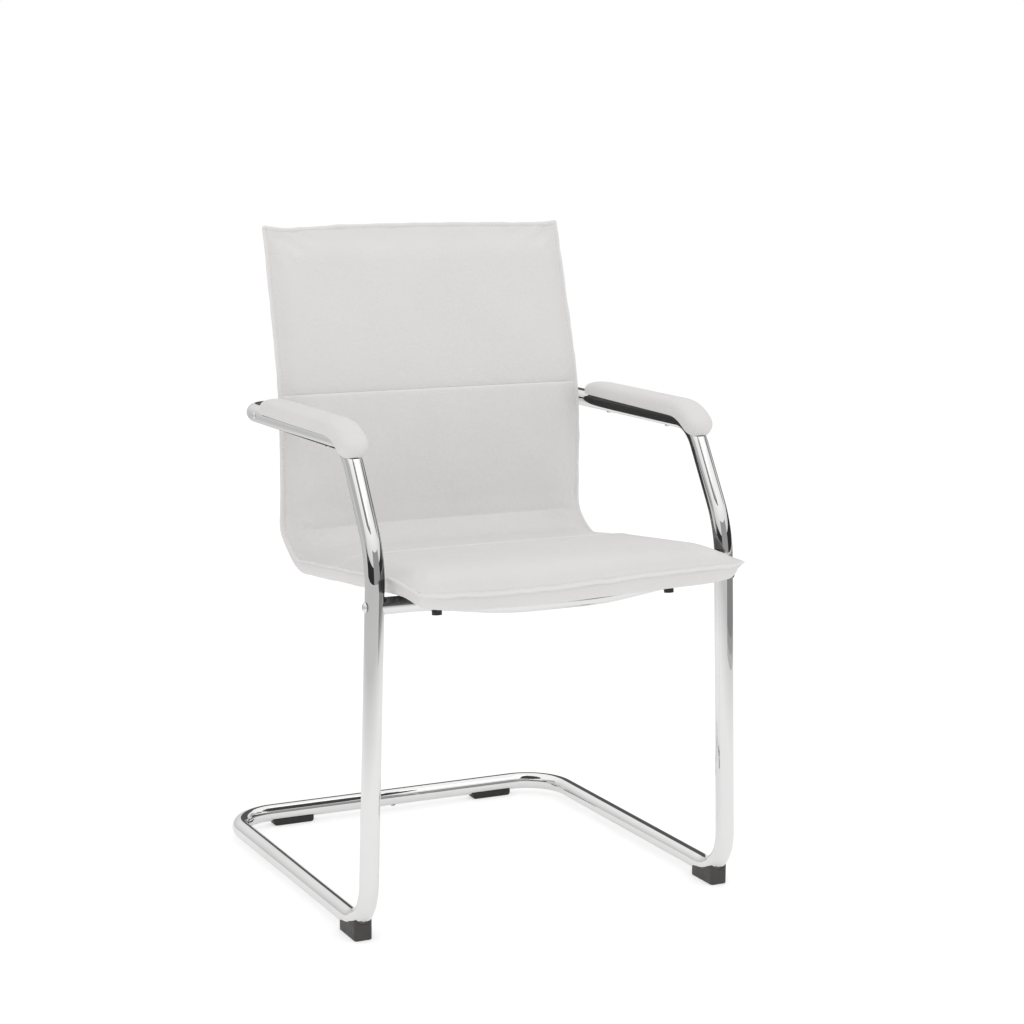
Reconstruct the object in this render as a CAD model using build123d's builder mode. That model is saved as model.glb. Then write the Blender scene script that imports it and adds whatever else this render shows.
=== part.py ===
from build123d import *
import os
from math import atan2, ceil, degrees, hypot, radians, tan

# Cantilever armchair: a bent chrome tube frame, a padded one-piece seat and back shell, padded arms.
# Millimetres, +Z up. The origin is on the floor, under the middle of the chair's outline.
# The sitter faces -Y, so the sitter's left is +X and the right is -X.

os.makedirs("parts", exist_ok=True)

# Frame tube
overall_depth = 634.0       # seat nose to the back of the rear floor bar
tube_diameter = 25.0
tube_wall = 2.0
rail_clearance = 6.5        # floor to the underside of the floor rails
leg_spread = 529.0          # between the floor rails' axes
arm_spread = 502.0          # between the arms' axes, so the legs splay a little
leg_setback = 85.0          # seat nose to the legs' axis
arm_height = 634.5          # floor to the arms' axis
knee_height = 500.0         # where the leg turns into the slanted part
slant_run = 84.0            # how far the slanted part leans back
arm_bend_radius = 60.0      # along each bend's centreline
knee_bend_radius = 140.0
foot_bend_radius = 60.0
rear_bend_radius = 66.0
bow_bend_radius = 38.0
bow_setback = 79.0          # lower back line to the axis of the bow behind it
bow_straight = 31.0         # straight end of the bow, up to its joint with the arm
rear_joint = 46.0           # where the two halves of the rear bar meet

# Joints of the frame
slip = 0.1                  # radial play of a spigot in its tube
spigot_wall = 3.0
arm_spigot_inside = 35.0    # spigot length in the arm
bow_spigot_inside = 27.0    # spigot length in the bow
bar_spigot_fixed = 62.0     # spigot length in the left half of the rear bar
bar_spigot_free = 74.0      # spigot length in the right half
joint_screw_inset = 9.0     # bow screw, from the joint into the bow
bar_screw_inset = 46.0      # rear bar screw, from the joint into the right half
joint_screw_diameter = 4.0
joint_screw_head = 9.0
joint_screw_head_height = 2.2
joint_screw_length = 5.6

# Seat crossbar
crossbar_diameter = 22.0
crossbar_wall = 2.0
crossbar_drop = 14.5        # how far its middle bows down
crossbar_straight = 77.0    # from the leg's axis to the start of the bow
crossbar_flat = 70.0        # half the flat middle stretch
crossbar_bend_radius = 500.0
plug_length = 28.0
plug_inset = 2.0            # plug's outer face, in from the leg's wall
leg_screw_diameter = 8.0
leg_screw_head = 14.0
leg_screw_head_height = 3.6
leg_screw_grip = 18.0       # thread held in the plug

# Shell profile, seen from the side
seat_nose_height = 464.0
hump_run = 62.0             # nose to the highest line of the seat
hump_height = 474.5
seat_depth = 464.0          # nose to the lower back line
seat_fall = 38.0            # drop of the seat line from the hump to the back
lumbar_height = 653.0       # where the upper back starts to lean
back_height = 890.0
back_lean = 69.0            # how far the upper back leans over its height
nose_bend_radius = 200.0
seat_bend_radius = 64.0
lumbar_bend_radius = 450.0
shell_width = 467.0

# Shell layers, measured from the welt's middle towards the sitter
layer_gap = 0.3
welt_thickness = 2.4
welt_width = 7.0
welt_proud = 2.0            # how far the welt stands out past the rear cover
foam_thickness = 5.7
board_thickness = 10.0
board_inset = 16.0          # welt's edge to the board's edge
board_top_inset = 34.0
board_nose_inset = 12.0
cover_depth = 20.0          # depth of the boxed rear cover below the welt
cover_crown = 1.5
cover_top_depth = 4.0
cover_draw_low = 2.0        # how far the rear cover's sides draw in, low down
cover_draw_high = 13.0      # the same along the upper back
cover_draw_run = 120.0      # length over which the draw changes
panel_crown = 12.0          # height of each quilted panel at its middle
panel_seam = 3.0            # height at its seams
panel_side = 1.8            # height along its sides
panel_draw = 4.0            # how far its sides draw in above the welt
panel_fullness = 6          # power of the curve from seam to crown, higher is fuller
seam_gap = 0.8
back_seam_height = 661.0
seat_seam_setback = 270.0   # seat nose to the cross seam
station_step = 14.0

# Shell fixings
fixing_bolt = 6.0
bolt_play = 0.2
bolt_head = 10.5
bolt_head_height = 3.0
bolt_head_gap = 0.7         # lets the head clear the bowed crossbar
seat_bolt_spread = 336.0
back_bolt_spread = 240.0
spacer_diameter = 20.0
nut_flange = 18.0
nut_flange_thickness = 1.6
nut_barrel = 9.0
nut_depth = 8.0
cap_diameter = 13.0
cap_wall = 1.0
cap_lip = 0.5               # how far the cap's rim reaches up around the crossbar

# Arm pads
pad_rear_gap = 17.0         # arm joint to the pad's rear tip
pad_wrap_share = 0.87       # how much of the arm's front bend the pad covers
pad_width = 42.0
pad_low = 4.5               # pad's lower edge above the arm's axis
pad_high = 30.0             # pad's crown above the arm's axis
pad_end_share = 0.55        # width left at the pad's blunt ends
pad_end_height = 0.5        # height left where a section has no width
pad_bulge_share = 0.35      # height of the widest line, as a share of the pad's height
pad_shoulder_share = 0.7    # height where the side turns into the crown
pad_tuck_share = 0.07       # how far the lower edge tucks in, as a share of half the width
base_width = 33.0
base_low = 5.0
base_high = 17.0
base_inset = 18.0           # pad's ends to the base's ends
pad_gap = 0.25
pad_screw_diameter = 4.2
pad_screw_head = 9.0
pad_screw_head_height = 2.4
pad_screw_bite = 13.0       # thread length in the base, from the tube's axis
pad_screw_front = 68.0      # front screw, back from the arm's front corner
pad_screw_rear = 52.0       # rear screw, in from the pad's rear tip

# Feet
foot_width = 24.7
foot_length = 55.0
foot_front = 15.0           # leg's axis to the foot's front face
foot_front_height = 28.0
foot_rear_height = 12.5
foot_peg = 6.0
foot_corner = 4.0
foot_sole_round = 1.8
peg_height = 4.5            # peg length above the tube's underside
peg_root = 3.5              # peg length below the tube's underside
foot_peg_inset = 6.5        # foot's rear end to the peg's axis
glide_length = 63.0
glide_centre = 164.0        # middle of each rear glide, from the centre line
glide_depth = 19.0
glide_height = 10.0
glide_end_round = 4.5
glide_sole_round = 1.5
glide_peg_pitch = 36.0

fit_gap = 0.15              # between a saddle and its tube
cut_margin = 1.0            # how far a cutter runs past the face it opens
socket_share = 0.22         # hexagon socket's radius, as a share of the screw head
socket_depth_share = 0.55   # its depth, as a share of the head's height

# Derived positions
tube_radius = tube_diameter / 2
nose_y = -overall_depth / 2
leg_y = nose_y + leg_setback
rail_z = rail_clearance + tube_radius
rear_y = overall_depth / 2 - tube_radius
back_y = nose_y + seat_depth
bow_y = back_y + bow_setback
arm_end_y = bow_y - bow_bend_radius - bow_straight
arm_corner_y = leg_y + slant_run
pad_rear_y = arm_end_y - pad_rear_gap
arm_x = arm_spread / 2
rail_x = leg_spread / 2
shell_half = shell_width / 2
sides = ((1, "left"), (-1, "right"))

panel_base = layer_gap
foam_top = -layer_gap
foam_bottom = foam_top - foam_thickness
board_top = foam_bottom - layer_gap
board_bottom = board_top - board_thickness
cover_rim = -welt_thickness / 2 - layer_gap
board_half = shell_half - board_inset


def bisect_root(gap, low, high):
    """The value between low and high where gap changes sign."""
    for _ in range(60):
        middle = (low + high) / 2
        if gap(low) * gap(middle) <= 0:
            high = middle
        else:
            low = middle
    return (low + high) / 2


def leg_x(height):
    """Half the spread of the legs' axes at a height."""
    share = (height - rail_z) / (knee_height - rail_z)
    return rail_x + (arm_x - rail_x) * share


def trimmed(points, first, last):
    """The corner points of a path that starts and ends a little further in."""
    inner = [Vector(*point) for point in points]
    start = inner[0] + (inner[1] - inner[0]).normalized() * first
    end = inner[-1] + (inner[-2] - inner[-1]).normalized() * last
    return [start] + inner[1:-1] + [end]


profile_points = (
    (0, nose_y, seat_nose_height),
    (0, nose_y + hump_run, hump_height),
    (0, back_y, hump_height - seat_fall),
    (0, back_y, lumbar_height),
    (0, back_y + back_lean, back_height),
)
profile_bends = (nose_bend_radius, seat_bend_radius, lumbar_bend_radius)

with BuildLine() as profile_line:
    profile = FilletPolyline(*profile_points, radius=profile_bends)


def shell_plane(distance):
    """Cross-section plane of the shell, X across it and its own Y towards the sitter."""
    share = distance / profile.length
    return Plane(origin=profile @ share, x_dir=(1, 0, 0), z_dir=-(profile % share))


def fixing_plane(point, low, high):
    """Plane on the shell whose normal, towards the sitter, runs through a tube's axis."""

    def slide(distance):
        plane = shell_plane(distance)
        return (point - plane.origin).dot(plane.z_dir)

    section = shell_plane(bisect_root(slide, low, high))
    return Plane(origin=section.origin, x_dir=(1, 0, 0), z_dir=section.y_dir)


def height_station(height):
    """Distance along the profile to a height on the back."""
    full = profile.length
    return bisect_root(lambda distance: (profile @ (distance / full)).Z - height, full / 2, full)


def depth_station(depth):
    """Distance along the profile to a depth on the seat."""
    full = profile.length
    return bisect_root(lambda distance: (profile @ (distance / full)).Y - depth, 0, seat_depth)


# Where the crossbar and the bow carry the shell
seat_station = depth_station(leg_y)
seat_under = (profile @ (seat_station / profile.length)).Z - cover_depth - cover_crown
crossbar_z = seat_under - layer_gap - crossbar_diameter / 2
crossbar_half = leg_x(crossbar_z)
bow_start_x = crossbar_half - crossbar_straight
crossbar_points = (
    (-crossbar_half, leg_y, crossbar_z),
    (-bow_start_x, leg_y, crossbar_z),
    (-crossbar_flat, leg_y, crossbar_z - crossbar_drop),
    (crossbar_flat, leg_y, crossbar_z - crossbar_drop),
    (bow_start_x, leg_y, crossbar_z),
    (crossbar_half, leg_y, crossbar_z),
)

with BuildLine() as crossbar_line:
    crossbar_path = FilletPolyline(*crossbar_points, radius=crossbar_bend_radius)

crossbar_at_bolt = crossbar_path @ bisect_root(
    lambda share: (crossbar_path @ share).X - seat_bolt_spread / 2, 0.5, 1.0
)
bow_axis = Vector(0, bow_y, arm_height)
seat_fixing = fixing_plane(Vector(0, leg_y, crossbar_at_bolt.Z), 0, seat_depth / 2)
back_fixing = fixing_plane(bow_axis, seat_depth + seat_bend_radius, profile.length)
seat_drop = hypot(crossbar_at_bolt.Y - seat_fixing.origin.Y, crossbar_at_bolt.Z - seat_fixing.origin.Z)
back_drop = hypot(bow_y - back_fixing.origin.Y, arm_height - back_fixing.origin.Z)


def side_points(side):
    """Corners of one bent side tube, from the arm's joint down to the rear bar's joint."""
    return (
        (side * arm_x, arm_end_y, arm_height),
        (side * arm_x, arm_corner_y, arm_height),
        (side * arm_x, leg_y, knee_height),
        (side * rail_x, leg_y, rail_z),
        (side * rail_x, rear_y, rail_z),
        (rear_joint, rear_y, rail_z),
    )


side_bends = (arm_bend_radius, knee_bend_radius, foot_bend_radius, rear_bend_radius)
bow_points = (
    (-arm_x, arm_end_y, arm_height),
    (-arm_x, bow_y, arm_height),
    (arm_x, bow_y, arm_height),
    (arm_x, arm_end_y, arm_height),
)


def swept_round(points, bends, outer, inner=0.0):
    """A round bar or tube along a path of straight runs and bends."""
    with BuildPart() as bar:
        with BuildLine():
            path = FilletPolyline(*points, radius=bends)
        with BuildSketch(Plane(origin=path @ 0, z_dir=path % 0)):
            Circle(outer)
            if inner:
                Circle(inner, mode=Mode.SUBTRACT)
        sweep()
    return bar.part


def swept_layer(low, high, half_width, nose_trim=0.0, top_trim=0.0):
    """A layer of even thickness that follows the shell's profile."""
    with BuildPart() as layer:
        with BuildLine():
            path = FilletPolyline(*trimmed(profile_points, nose_trim, top_trim), radius=profile_bends)
        with BuildSketch(Plane(origin=path @ 0, x_dir=(1, 0, 0), z_dir=-(path % 0))):
            with Locations((0, (low + high) / 2)):
                Rectangle(2 * half_width, high - low)
        sweep()
    return layer.part


def post(locations, radius, height, mode=Mode.ADD):
    """Round posts that stand on the given places."""
    with Locations(*locations):
        Cylinder(radius, height, align=(Align.CENTER, Align.CENTER, Align.MIN), mode=mode)


def screw(head, head_height, shank, shank_length):
    """A domed screw with a hexagon socket: its head stands on Z = 0, its shank points down."""
    dome = (head ** 2 / 4 + head_height ** 2) / (2 * head_height)
    with BuildPart() as body:
        with Locations((0, 0, head_height - dome)):
            Sphere(dome)
        split(bisect_by=Plane.XY, keep=Keep.TOP)
        with BuildSketch(Plane.XY.offset(head_height)):
            RegularPolygon(head * socket_share, 6)
        extrude(amount=-head_height * socket_depth_share, mode=Mode.SUBTRACT)
        Cylinder(shank / 2, shank_length, align=(Align.CENTER, Align.CENTER, Align.MAX))
    return body.part


def place(plane, x, height):
    """A place on a fixing plane, measured along its normal."""
    return plane.location * Location((x, 0, height))


def fixing_places(plane, spread, height):
    """The two places of a pair of fixings."""
    return [place(plane, side * spread / 2, height) for side, _ in sides]


def outward(side, x, y, height):
    """A place whose own Z points away from the chair's middle."""
    return Location((side * x, y, height), (0, side * 90, 0))


def below(x, y, height):
    """A place whose own Z points down."""
    return Location((x, y, height), (180, 0, 0))


# Places of the frame's holes and screws
bow_screw_y = arm_end_y + joint_screw_inset
bow_screw_places = [outward(side, arm_x, bow_screw_y, arm_height) for side, _ in sides]
bar_screw_x = rear_joint - bar_screw_inset
pad_screw_ys = (arm_corner_y + pad_screw_front, pad_rear_y - pad_screw_rear)
foot_peg_y = leg_y + foot_front + foot_length - foot_peg_inset
glide_peg_xs = [glide_centre + turn * glide_peg_pitch / 2 for turn in (-1, 1)]
bolt_hole = fixing_bolt / 2 + bolt_play
peg_hole = foot_peg / 2 + slip

# Side tubes
for side, hand in sides:
    tube_body = swept_round(side_points(side), side_bends, tube_radius, tube_radius - tube_wall)
    with BuildPart() as side_tube:
        add(tube_body)
        with Locations(outward(side, crossbar_half, leg_y, crossbar_z)):
            Cylinder(leg_screw_diameter / 2 + bolt_play, 2 * tube_diameter, mode=Mode.SUBTRACT)
        for screw_y in pad_screw_ys:
            with Locations((side * arm_x, screw_y, arm_height)):
                Cylinder(pad_screw_diameter / 2 + bolt_play, 2 * tube_diameter, mode=Mode.SUBTRACT)
        with Locations((side * rail_x, foot_peg_y, rail_clearance)):
            Cylinder(peg_hole, 2 * tube_wall + peg_height, mode=Mode.SUBTRACT)
        for peg_x in glide_peg_xs:
            with Locations((side * peg_x, rear_y, rail_clearance)):
                Cylinder(peg_hole, 2 * tube_wall + peg_height, mode=Mode.SUBTRACT)
        if hand == "right":
            with Locations((bar_screw_x, rear_y, rail_clearance)):
                Cylinder(joint_screw_diameter / 2 + bolt_play, tube_radius, mode=Mode.SUBTRACT)
    side_tube.part.label = f"{hand}_side_tube"
    export_step(side_tube.part, f"parts/{hand}_side_tube.step")

# Bow behind the back, with its spigots and screws
bow_body = swept_round(bow_points, bow_bend_radius, tube_radius, tube_radius - tube_wall)
with BuildPart() as back_bow:
    add(bow_body)
    with Locations(*bow_screw_places):
        Cylinder(joint_screw_diameter / 2 + bolt_play, 2 * tube_radius, mode=Mode.SUBTRACT,
                 align=(Align.CENTER, Align.CENTER, Align.MIN))
    with Locations(*fixing_places(back_fixing, back_bolt_spread, -back_drop)):
        Cylinder(bolt_hole, 2 * tube_diameter, mode=Mode.SUBTRACT)
back_bow.part.label = "back_bow"
export_step(back_bow.part, "parts/back_bow.step")

spigot_radius = tube_radius - tube_wall - slip
spigot_length = arm_spigot_inside + bow_spigot_inside
with BuildPart() as arm_spigots:
    for side, _ in sides:
        with Locations(Location((side * arm_x, arm_end_y - arm_spigot_inside, arm_height), (-90, 0, 0))):
            Cylinder(spigot_radius, spigot_length, align=(Align.CENTER, Align.CENTER, Align.MIN))
            Cylinder(spigot_radius - spigot_wall, spigot_length, mode=Mode.SUBTRACT,
                     align=(Align.CENTER, Align.CENTER, Align.MIN))
    with Locations(*bow_screw_places):
        Cylinder(joint_screw_diameter / 2 + slip, tube_radius, mode=Mode.SUBTRACT,
                 align=(Align.CENTER, Align.CENTER, Align.MIN))
arm_spigots.part.label = "arm_spigots"
export_step(arm_spigots.part, "parts/arm_spigots.step")

head_seat = tube_radius + fit_gap
joint_screw = screw(joint_screw_head, joint_screw_head_height, joint_screw_diameter, joint_screw_length)
with BuildPart() as bow_screws:
    with Locations(*[outward(side, arm_x + head_seat, bow_screw_y, arm_height) for side, _ in sides]):
        add(joint_screw)
bow_screws.part.label = "bow_screws"
export_step(bow_screws.part, "parts/bow_screws.step")

# Spigot and screw inside the rear floor bar
with BuildPart() as rear_bar_spigot:
    with Locations(Location((rear_joint - bar_spigot_free, rear_y, rail_z), (0, 90, 0))):
        Cylinder(spigot_radius, bar_spigot_free + bar_spigot_fixed,
                 align=(Align.CENTER, Align.CENTER, Align.MIN))
        Cylinder(spigot_radius - spigot_wall, bar_spigot_free + bar_spigot_fixed, mode=Mode.SUBTRACT,
                 align=(Align.CENTER, Align.CENTER, Align.MIN))
    with Locations(below(bar_screw_x, rear_y, rail_z)):
        Cylinder(joint_screw_diameter / 2 + slip, tube_radius, mode=Mode.SUBTRACT,
                 align=(Align.CENTER, Align.CENTER, Align.MIN))
rear_bar_spigot.part.label = "rear_bar_spigot"
export_step(rear_bar_spigot.part, "parts/rear_bar_spigot.step")

with BuildPart() as rear_bar_screw:
    with Locations(below(bar_screw_x, rear_y, rail_z - head_seat)):
        add(joint_screw)
rear_bar_screw.part.label = "rear_bar_screw"
export_step(rear_bar_screw.part, "parts/rear_bar_screw.step")

# Seat crossbar, coped to the legs, with its threaded plugs and the leg screws
crossbar_radius = crossbar_diameter / 2
crossbar_bore = crossbar_radius - crossbar_wall
crossbar_body = swept_round(crossbar_points, crossbar_bend_radius, crossbar_radius, crossbar_bore)
crossbar_envelope = swept_round(crossbar_points, crossbar_bend_radius, crossbar_radius + fit_gap)
leg_envelopes = [
    swept_round(side_points(side)[1:5], side_bends[1:3], tube_radius + fit_gap) for side, _ in sides
]
with BuildPart() as seat_crossbar:
    add(crossbar_body)
    for envelope in leg_envelopes:
        add(envelope, mode=Mode.SUBTRACT)
    with Locations(*fixing_places(seat_fixing, seat_bolt_spread, -seat_drop)):
        Cylinder(bolt_hole, 2 * crossbar_diameter, mode=Mode.SUBTRACT)
seat_crossbar.part.label = "seat_crossbar"
export_step(seat_crossbar.part, "parts/seat_crossbar.step")

plug_end = crossbar_half - tube_radius - plug_inset
with BuildPart() as crossbar_plugs:
    for side, _ in sides:
        with Locations(outward(side, plug_end - plug_length, leg_y, crossbar_z)):
            Cylinder(crossbar_bore - slip, plug_length,
                     align=(Align.CENTER, Align.CENTER, Align.MIN))
            Cylinder(leg_screw_diameter / 2 + slip, plug_length, mode=Mode.SUBTRACT,
                     align=(Align.CENTER, Align.CENTER, Align.MIN))
crossbar_plugs.part.label = "crossbar_plugs"
export_step(crossbar_plugs.part, "parts/crossbar_plugs.step")

leg_screw_seat = crossbar_half + tube_radius + 2 * fit_gap
leg_screw_length = leg_screw_seat - plug_end + leg_screw_grip
leg_screw = screw(leg_screw_head, leg_screw_head_height, leg_screw_diameter, leg_screw_length)
with BuildPart() as leg_screws:
    with Locations(*[outward(side, leg_screw_seat, leg_y, crossbar_z) for side, _ in sides]):
        add(leg_screw)
leg_screws.part.label = "leg_screws"
export_step(leg_screws.part, "parts/leg_screws.step")

# Shell board with its counterbored fixing holes
fixing_pairs = ((seat_fixing, seat_bolt_spread, seat_drop), (back_fixing, back_bolt_spread, back_drop))
board_body = swept_layer(board_bottom, board_top, board_half, board_nose_inset, board_top_inset)
nut_recess = nut_flange_thickness + layer_gap
with BuildPart() as shell_board:
    add(board_body)
    for plane, spread, _ in fixing_pairs:
        post(fixing_places(plane, spread, board_bottom - cut_margin), nut_barrel / 2 + slip,
             board_thickness + 2 * cut_margin, Mode.SUBTRACT)
        post(fixing_places(plane, spread, board_top - nut_recess), nut_flange / 2 + bolt_play,
             nut_recess + cut_margin, Mode.SUBTRACT)
shell_board.part.label = "shell_board"
export_step(shell_board.part, "parts/shell_board.step")

foam_body = swept_layer(foam_bottom, foam_top, board_half, board_nose_inset, board_top_inset)
with BuildPart() as foam_sheet:
    add(foam_body)
foam_sheet.part.label = "foam_sheet"
export_step(foam_sheet.part, "parts/foam_sheet.step")

# Threaded nuts in the board, bolts, spacers and caps
for name, (plane, spread, drop) in zip(("seat", "back"), fixing_pairs):
    flange_seat = board_top - nut_recess
    with BuildPart() as nuts:
        post(fixing_places(plane, spread, flange_seat), nut_flange / 2, nut_flange_thickness)
        post(fixing_places(plane, spread, flange_seat - nut_depth), nut_barrel / 2, nut_depth)
        post(fixing_places(plane, spread, flange_seat - nut_depth - cut_margin), fixing_bolt / 2 + slip,
             nut_depth + nut_flange_thickness + 2 * cut_margin, Mode.SUBTRACT)
    nuts.part.label = f"{name}_nuts"
    export_step(nuts.part, f"parts/{name}_nuts.step")

    rail_radius = crossbar_radius if name == "seat" else tube_radius
    head_place = -drop - rail_radius - bolt_head_gap
    bolt = screw(bolt_head, bolt_head_height, fixing_bolt, flange_seat - head_place)
    turned = [spot * Location((0, 0, 0), (180, 0, 0)) for spot in fixing_places(plane, spread, head_place)]
    with BuildPart() as bolts:
        with Locations(*turned):
            add(bolt)
    bolts.part.label = f"{name}_bolts"
    export_step(bolts.part, f"parts/{name}_bolts.step")

    if name == "seat":
        tube_envelope = crossbar_envelope
    else:
        tube_envelope = swept_round(bow_points, bow_bend_radius, tube_radius + fit_gap)
    spacer_length = drop + board_bottom - layer_gap
    with BuildPart() as spacers:
        post(fixing_places(plane, spread, -drop), spacer_diameter / 2, spacer_length)
        add(tube_envelope, mode=Mode.SUBTRACT)
        post(fixing_places(plane, spread, -drop), fixing_bolt / 2 + bolt_play, spacer_length, Mode.SUBTRACT)
    spacers.part.label = f"{name}_spacers"
    export_step(spacers.part, f"parts/{name}_spacers.step")

# Black caps over the seat bolts' heads
cap_top = -seat_drop - crossbar_radius + cap_lip
cap_height = cap_lip + bolt_head_gap + bolt_head_height + layer_gap + cap_wall
with BuildPart() as bolt_caps:
    post(fixing_places(seat_fixing, seat_bolt_spread, cap_top - cap_height), cap_diameter / 2, cap_height)
    post(fixing_places(seat_fixing, seat_bolt_spread, cap_top - cap_height + cap_wall),
         bolt_head / 2 + bolt_play, cap_height, Mode.SUBTRACT)
    add(crossbar_envelope, mode=Mode.SUBTRACT)
bolt_caps.part.label = "seat_bolt_caps"
export_step(bolt_caps.part, "parts/seat_bolt_caps.step")

# Shell covers
back_seam = height_station(back_seam_height)
seat_seam = depth_station(nose_y + seat_seam_setback)
inner_edge = welt_width + layer_gap
draw_start = back_seam + station_step


def stations(start, end):
    """Evenly spaced distances along the profile."""
    count = ceil((end - start) / station_step)
    return [start + (end - start) * turn / count for turn in range(count + 1)]


def crowned_section(plane, half_width, base, edge_half, edge, crown):
    """One closed cross-section: a straight base, drawn-in sides and a crowned face."""
    with BuildSketch(plane) as section:
        with BuildLine():
            Line((-half_width, base), (half_width, base))
            Line((half_width, base), (edge_half, edge))
            ThreePointArc((edge_half, edge), (0, crown), (-edge_half, edge))
            Line((-edge_half, edge), (-half_width, base))
        make_face()
    return section.sketch


def cover_shape(distance):
    """Depth and side draw of the rear cover, which thins out at the top of the back."""
    taper = max(0.0, 1 - (profile.length - distance) / board_top_inset)
    depth = cover_top_depth + (cover_depth - cover_top_depth) * (1 - taper ** 2) ** 0.5
    rise = min(1.0, max(0.0, (distance - draw_start) / cover_draw_run))
    return depth, cover_draw_low + (cover_draw_high - cover_draw_low) * rise


cover_half = shell_half - welt_proud
taper_stations = [profile.length - board_top_inset * share for share in (1, 0.6, 0.3, 0.1, 0)]
pocket = swept_layer(board_bottom - layer_gap, cut_margin, board_half + layer_gap,
                     board_nose_inset - layer_gap, board_top_inset - layer_gap)
cover_sections = []
for distance in stations(0, taper_stations[0])[:-1] + taper_stations:
    depth, draw = cover_shape(distance)
    cover_sections.append(crowned_section(shell_plane(distance), cover_half, cover_rim, cover_half - draw,
                                          -depth, -depth - cover_crown))
with BuildPart() as rear_cover:
    loft(cover_sections)
    add(pocket, mode=Mode.SUBTRACT)
    for plane, spread, drop in fixing_pairs:
        post(fixing_places(plane, spread, -drop), spacer_diameter / 2 + bolt_play, drop, Mode.SUBTRACT)
rear_cover.part.label = "rear_cover"
export_step(rear_cover.part, "parts/rear_cover.step")

panel_half = shell_half - inner_edge
panel_spans = {
    "seat_panel": (inner_edge, seat_seam - seam_gap / 2),
    "lower_back_panel": (seat_seam + seam_gap / 2, back_seam - seam_gap / 2),
    "upper_back_panel": (back_seam + seam_gap / 2, profile.length - inner_edge),
}
for name, (start, end) in panel_spans.items():
    panel_sections = []
    for distance in stations(start, end):
        lift = 1 - abs(2 * (distance - start) / (end - start) - 1) ** panel_fullness
        crown = panel_seam + (panel_crown - panel_seam) * lift
        panel_sections.append(crowned_section(shell_plane(distance), panel_half, panel_base,
                                              panel_half - panel_draw * lift, panel_side * (1 + lift), crown))
    with BuildPart() as panel:
        loft(panel_sections)
    panel.part.label = name
    export_step(panel.part, f"parts/{name}.step")

welt_sheet = swept_layer(-welt_thickness / 2, welt_thickness / 2, shell_half)
welt_window = swept_layer(-welt_thickness, welt_thickness, shell_half - welt_width, welt_width, welt_width)
with BuildPart() as edge_welt:
    add(welt_sheet)
    add(welt_window, mode=Mode.SUBTRACT)
edge_welt.part.label = "edge_welt"
export_step(edge_welt.part, "parts/edge_welt.step")

# Arm pads: a moulded base that saddles the tube, and a leather-covered foam pad over it
arm_turn = degrees(atan2(arm_height - knee_height, slant_run))
arm_bend_y = arm_corner_y + arm_bend_radius * tan(radians(arm_turn / 2))
pad_wrap = pad_wrap_share * arm_turn
pad_round = pad_width / 2


def pad_path(side, inset):
    """The arm's axis under a pad, from its rear end round part of the front bend."""
    with BuildLine(Plane.YZ.offset(side * arm_x)) as line:
        Line((pad_rear_y - inset, arm_height), (arm_bend_y, arm_height))
        turn = pad_wrap - degrees(inset / arm_bend_radius)
        JernArc((arm_bend_y, arm_height), (-1, 0), arm_bend_radius, turn)
    return line.wire()


def pad_plane(path, distance):
    """Cross-section plane of a pad, X across it and its own Y away from the tube."""
    share = distance / path.length
    return Plane(origin=path @ share, x_dir=(1, 0, 0), z_dir=path % share)


def base_bar(side, inset, grow):
    """The pad base as a bar along the arm, before the tube is cut out of it."""
    path = pad_path(side, inset)
    with BuildPart() as bar:
        with BuildSketch(pad_plane(path, 0)):
            with Locations((0, (base_low + base_high) / 2)):
                Rectangle(base_width + 2 * grow, base_high - base_low + 2 * grow)
        sweep(path=path)
    return bar.part


def pad_section(plane, fullness):
    """One cross-section of a pad, smaller towards its rounded ends."""
    half = pad_round * fullness
    rise = (pad_high - pad_low) * (pad_end_height + (1 - pad_end_height) * fullness)
    bulge = pad_low + pad_bulge_share * rise
    shoulder = pad_low + pad_shoulder_share * rise
    tuck = pad_tuck_share * half
    with BuildSketch(plane) as section:
        with BuildLine():
            Line((-half + tuck, pad_low), (half - tuck, pad_low))
            ThreePointArc((half - tuck, pad_low), (half, bulge), (half - 2 * tuck, shoulder))
            ThreePointArc((half - 2 * tuck, shoulder), (0, pad_low + rise), (2 * tuck - half, shoulder))
            ThreePointArc((2 * tuck - half, shoulder), (-half, bulge), (tuck - half, pad_low))
        make_face()
    return section.sketch


for side, hand in sides:
    arm_envelope = swept_round(side_points(side)[:4], side_bends[:2], tube_radius + pad_gap)
    base_body = base_bar(side, base_inset, 0.0)
    with BuildPart() as arm_base:
        add(base_body)
        add(arm_envelope, mode=Mode.SUBTRACT)
        for screw_y in pad_screw_ys:
            with Locations((side * arm_x, screw_y, arm_height)):
                Cylinder(pad_screw_diameter / 2 + slip, pad_screw_bite + cut_margin, mode=Mode.SUBTRACT,
                         align=(Align.CENTER, Align.CENTER, Align.MIN))
    arm_base.part.label = f"{hand}_arm_base"
    export_step(arm_base.part, f"parts/{hand}_arm_base.step")

    path = pad_path(side, 0.0)
    middle = stations(pad_round, path.length - pad_round)
    ends = [pad_round * share for share in (0, 0.2, 0.5)]
    base_room = base_bar(side, base_inset - pad_gap, pad_gap)
    pad_sections = []
    for distance in ends + middle + [path.length - end for end in reversed(ends)]:
        reach = min(1.0, min(distance, path.length - distance) / pad_round)
        fullness = max(pad_end_share, (1 - (1 - reach) ** 2) ** 0.5)
        pad_sections.append(pad_section(pad_plane(path, distance), fullness))
    with BuildPart() as arm_pad:
        loft(pad_sections)
        add(base_room, mode=Mode.SUBTRACT)
        add(arm_envelope, mode=Mode.SUBTRACT)
    arm_pad.part.label = f"{hand}_arm_pad"
    export_step(arm_pad.part, f"parts/{hand}_arm_pad.step")

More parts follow.
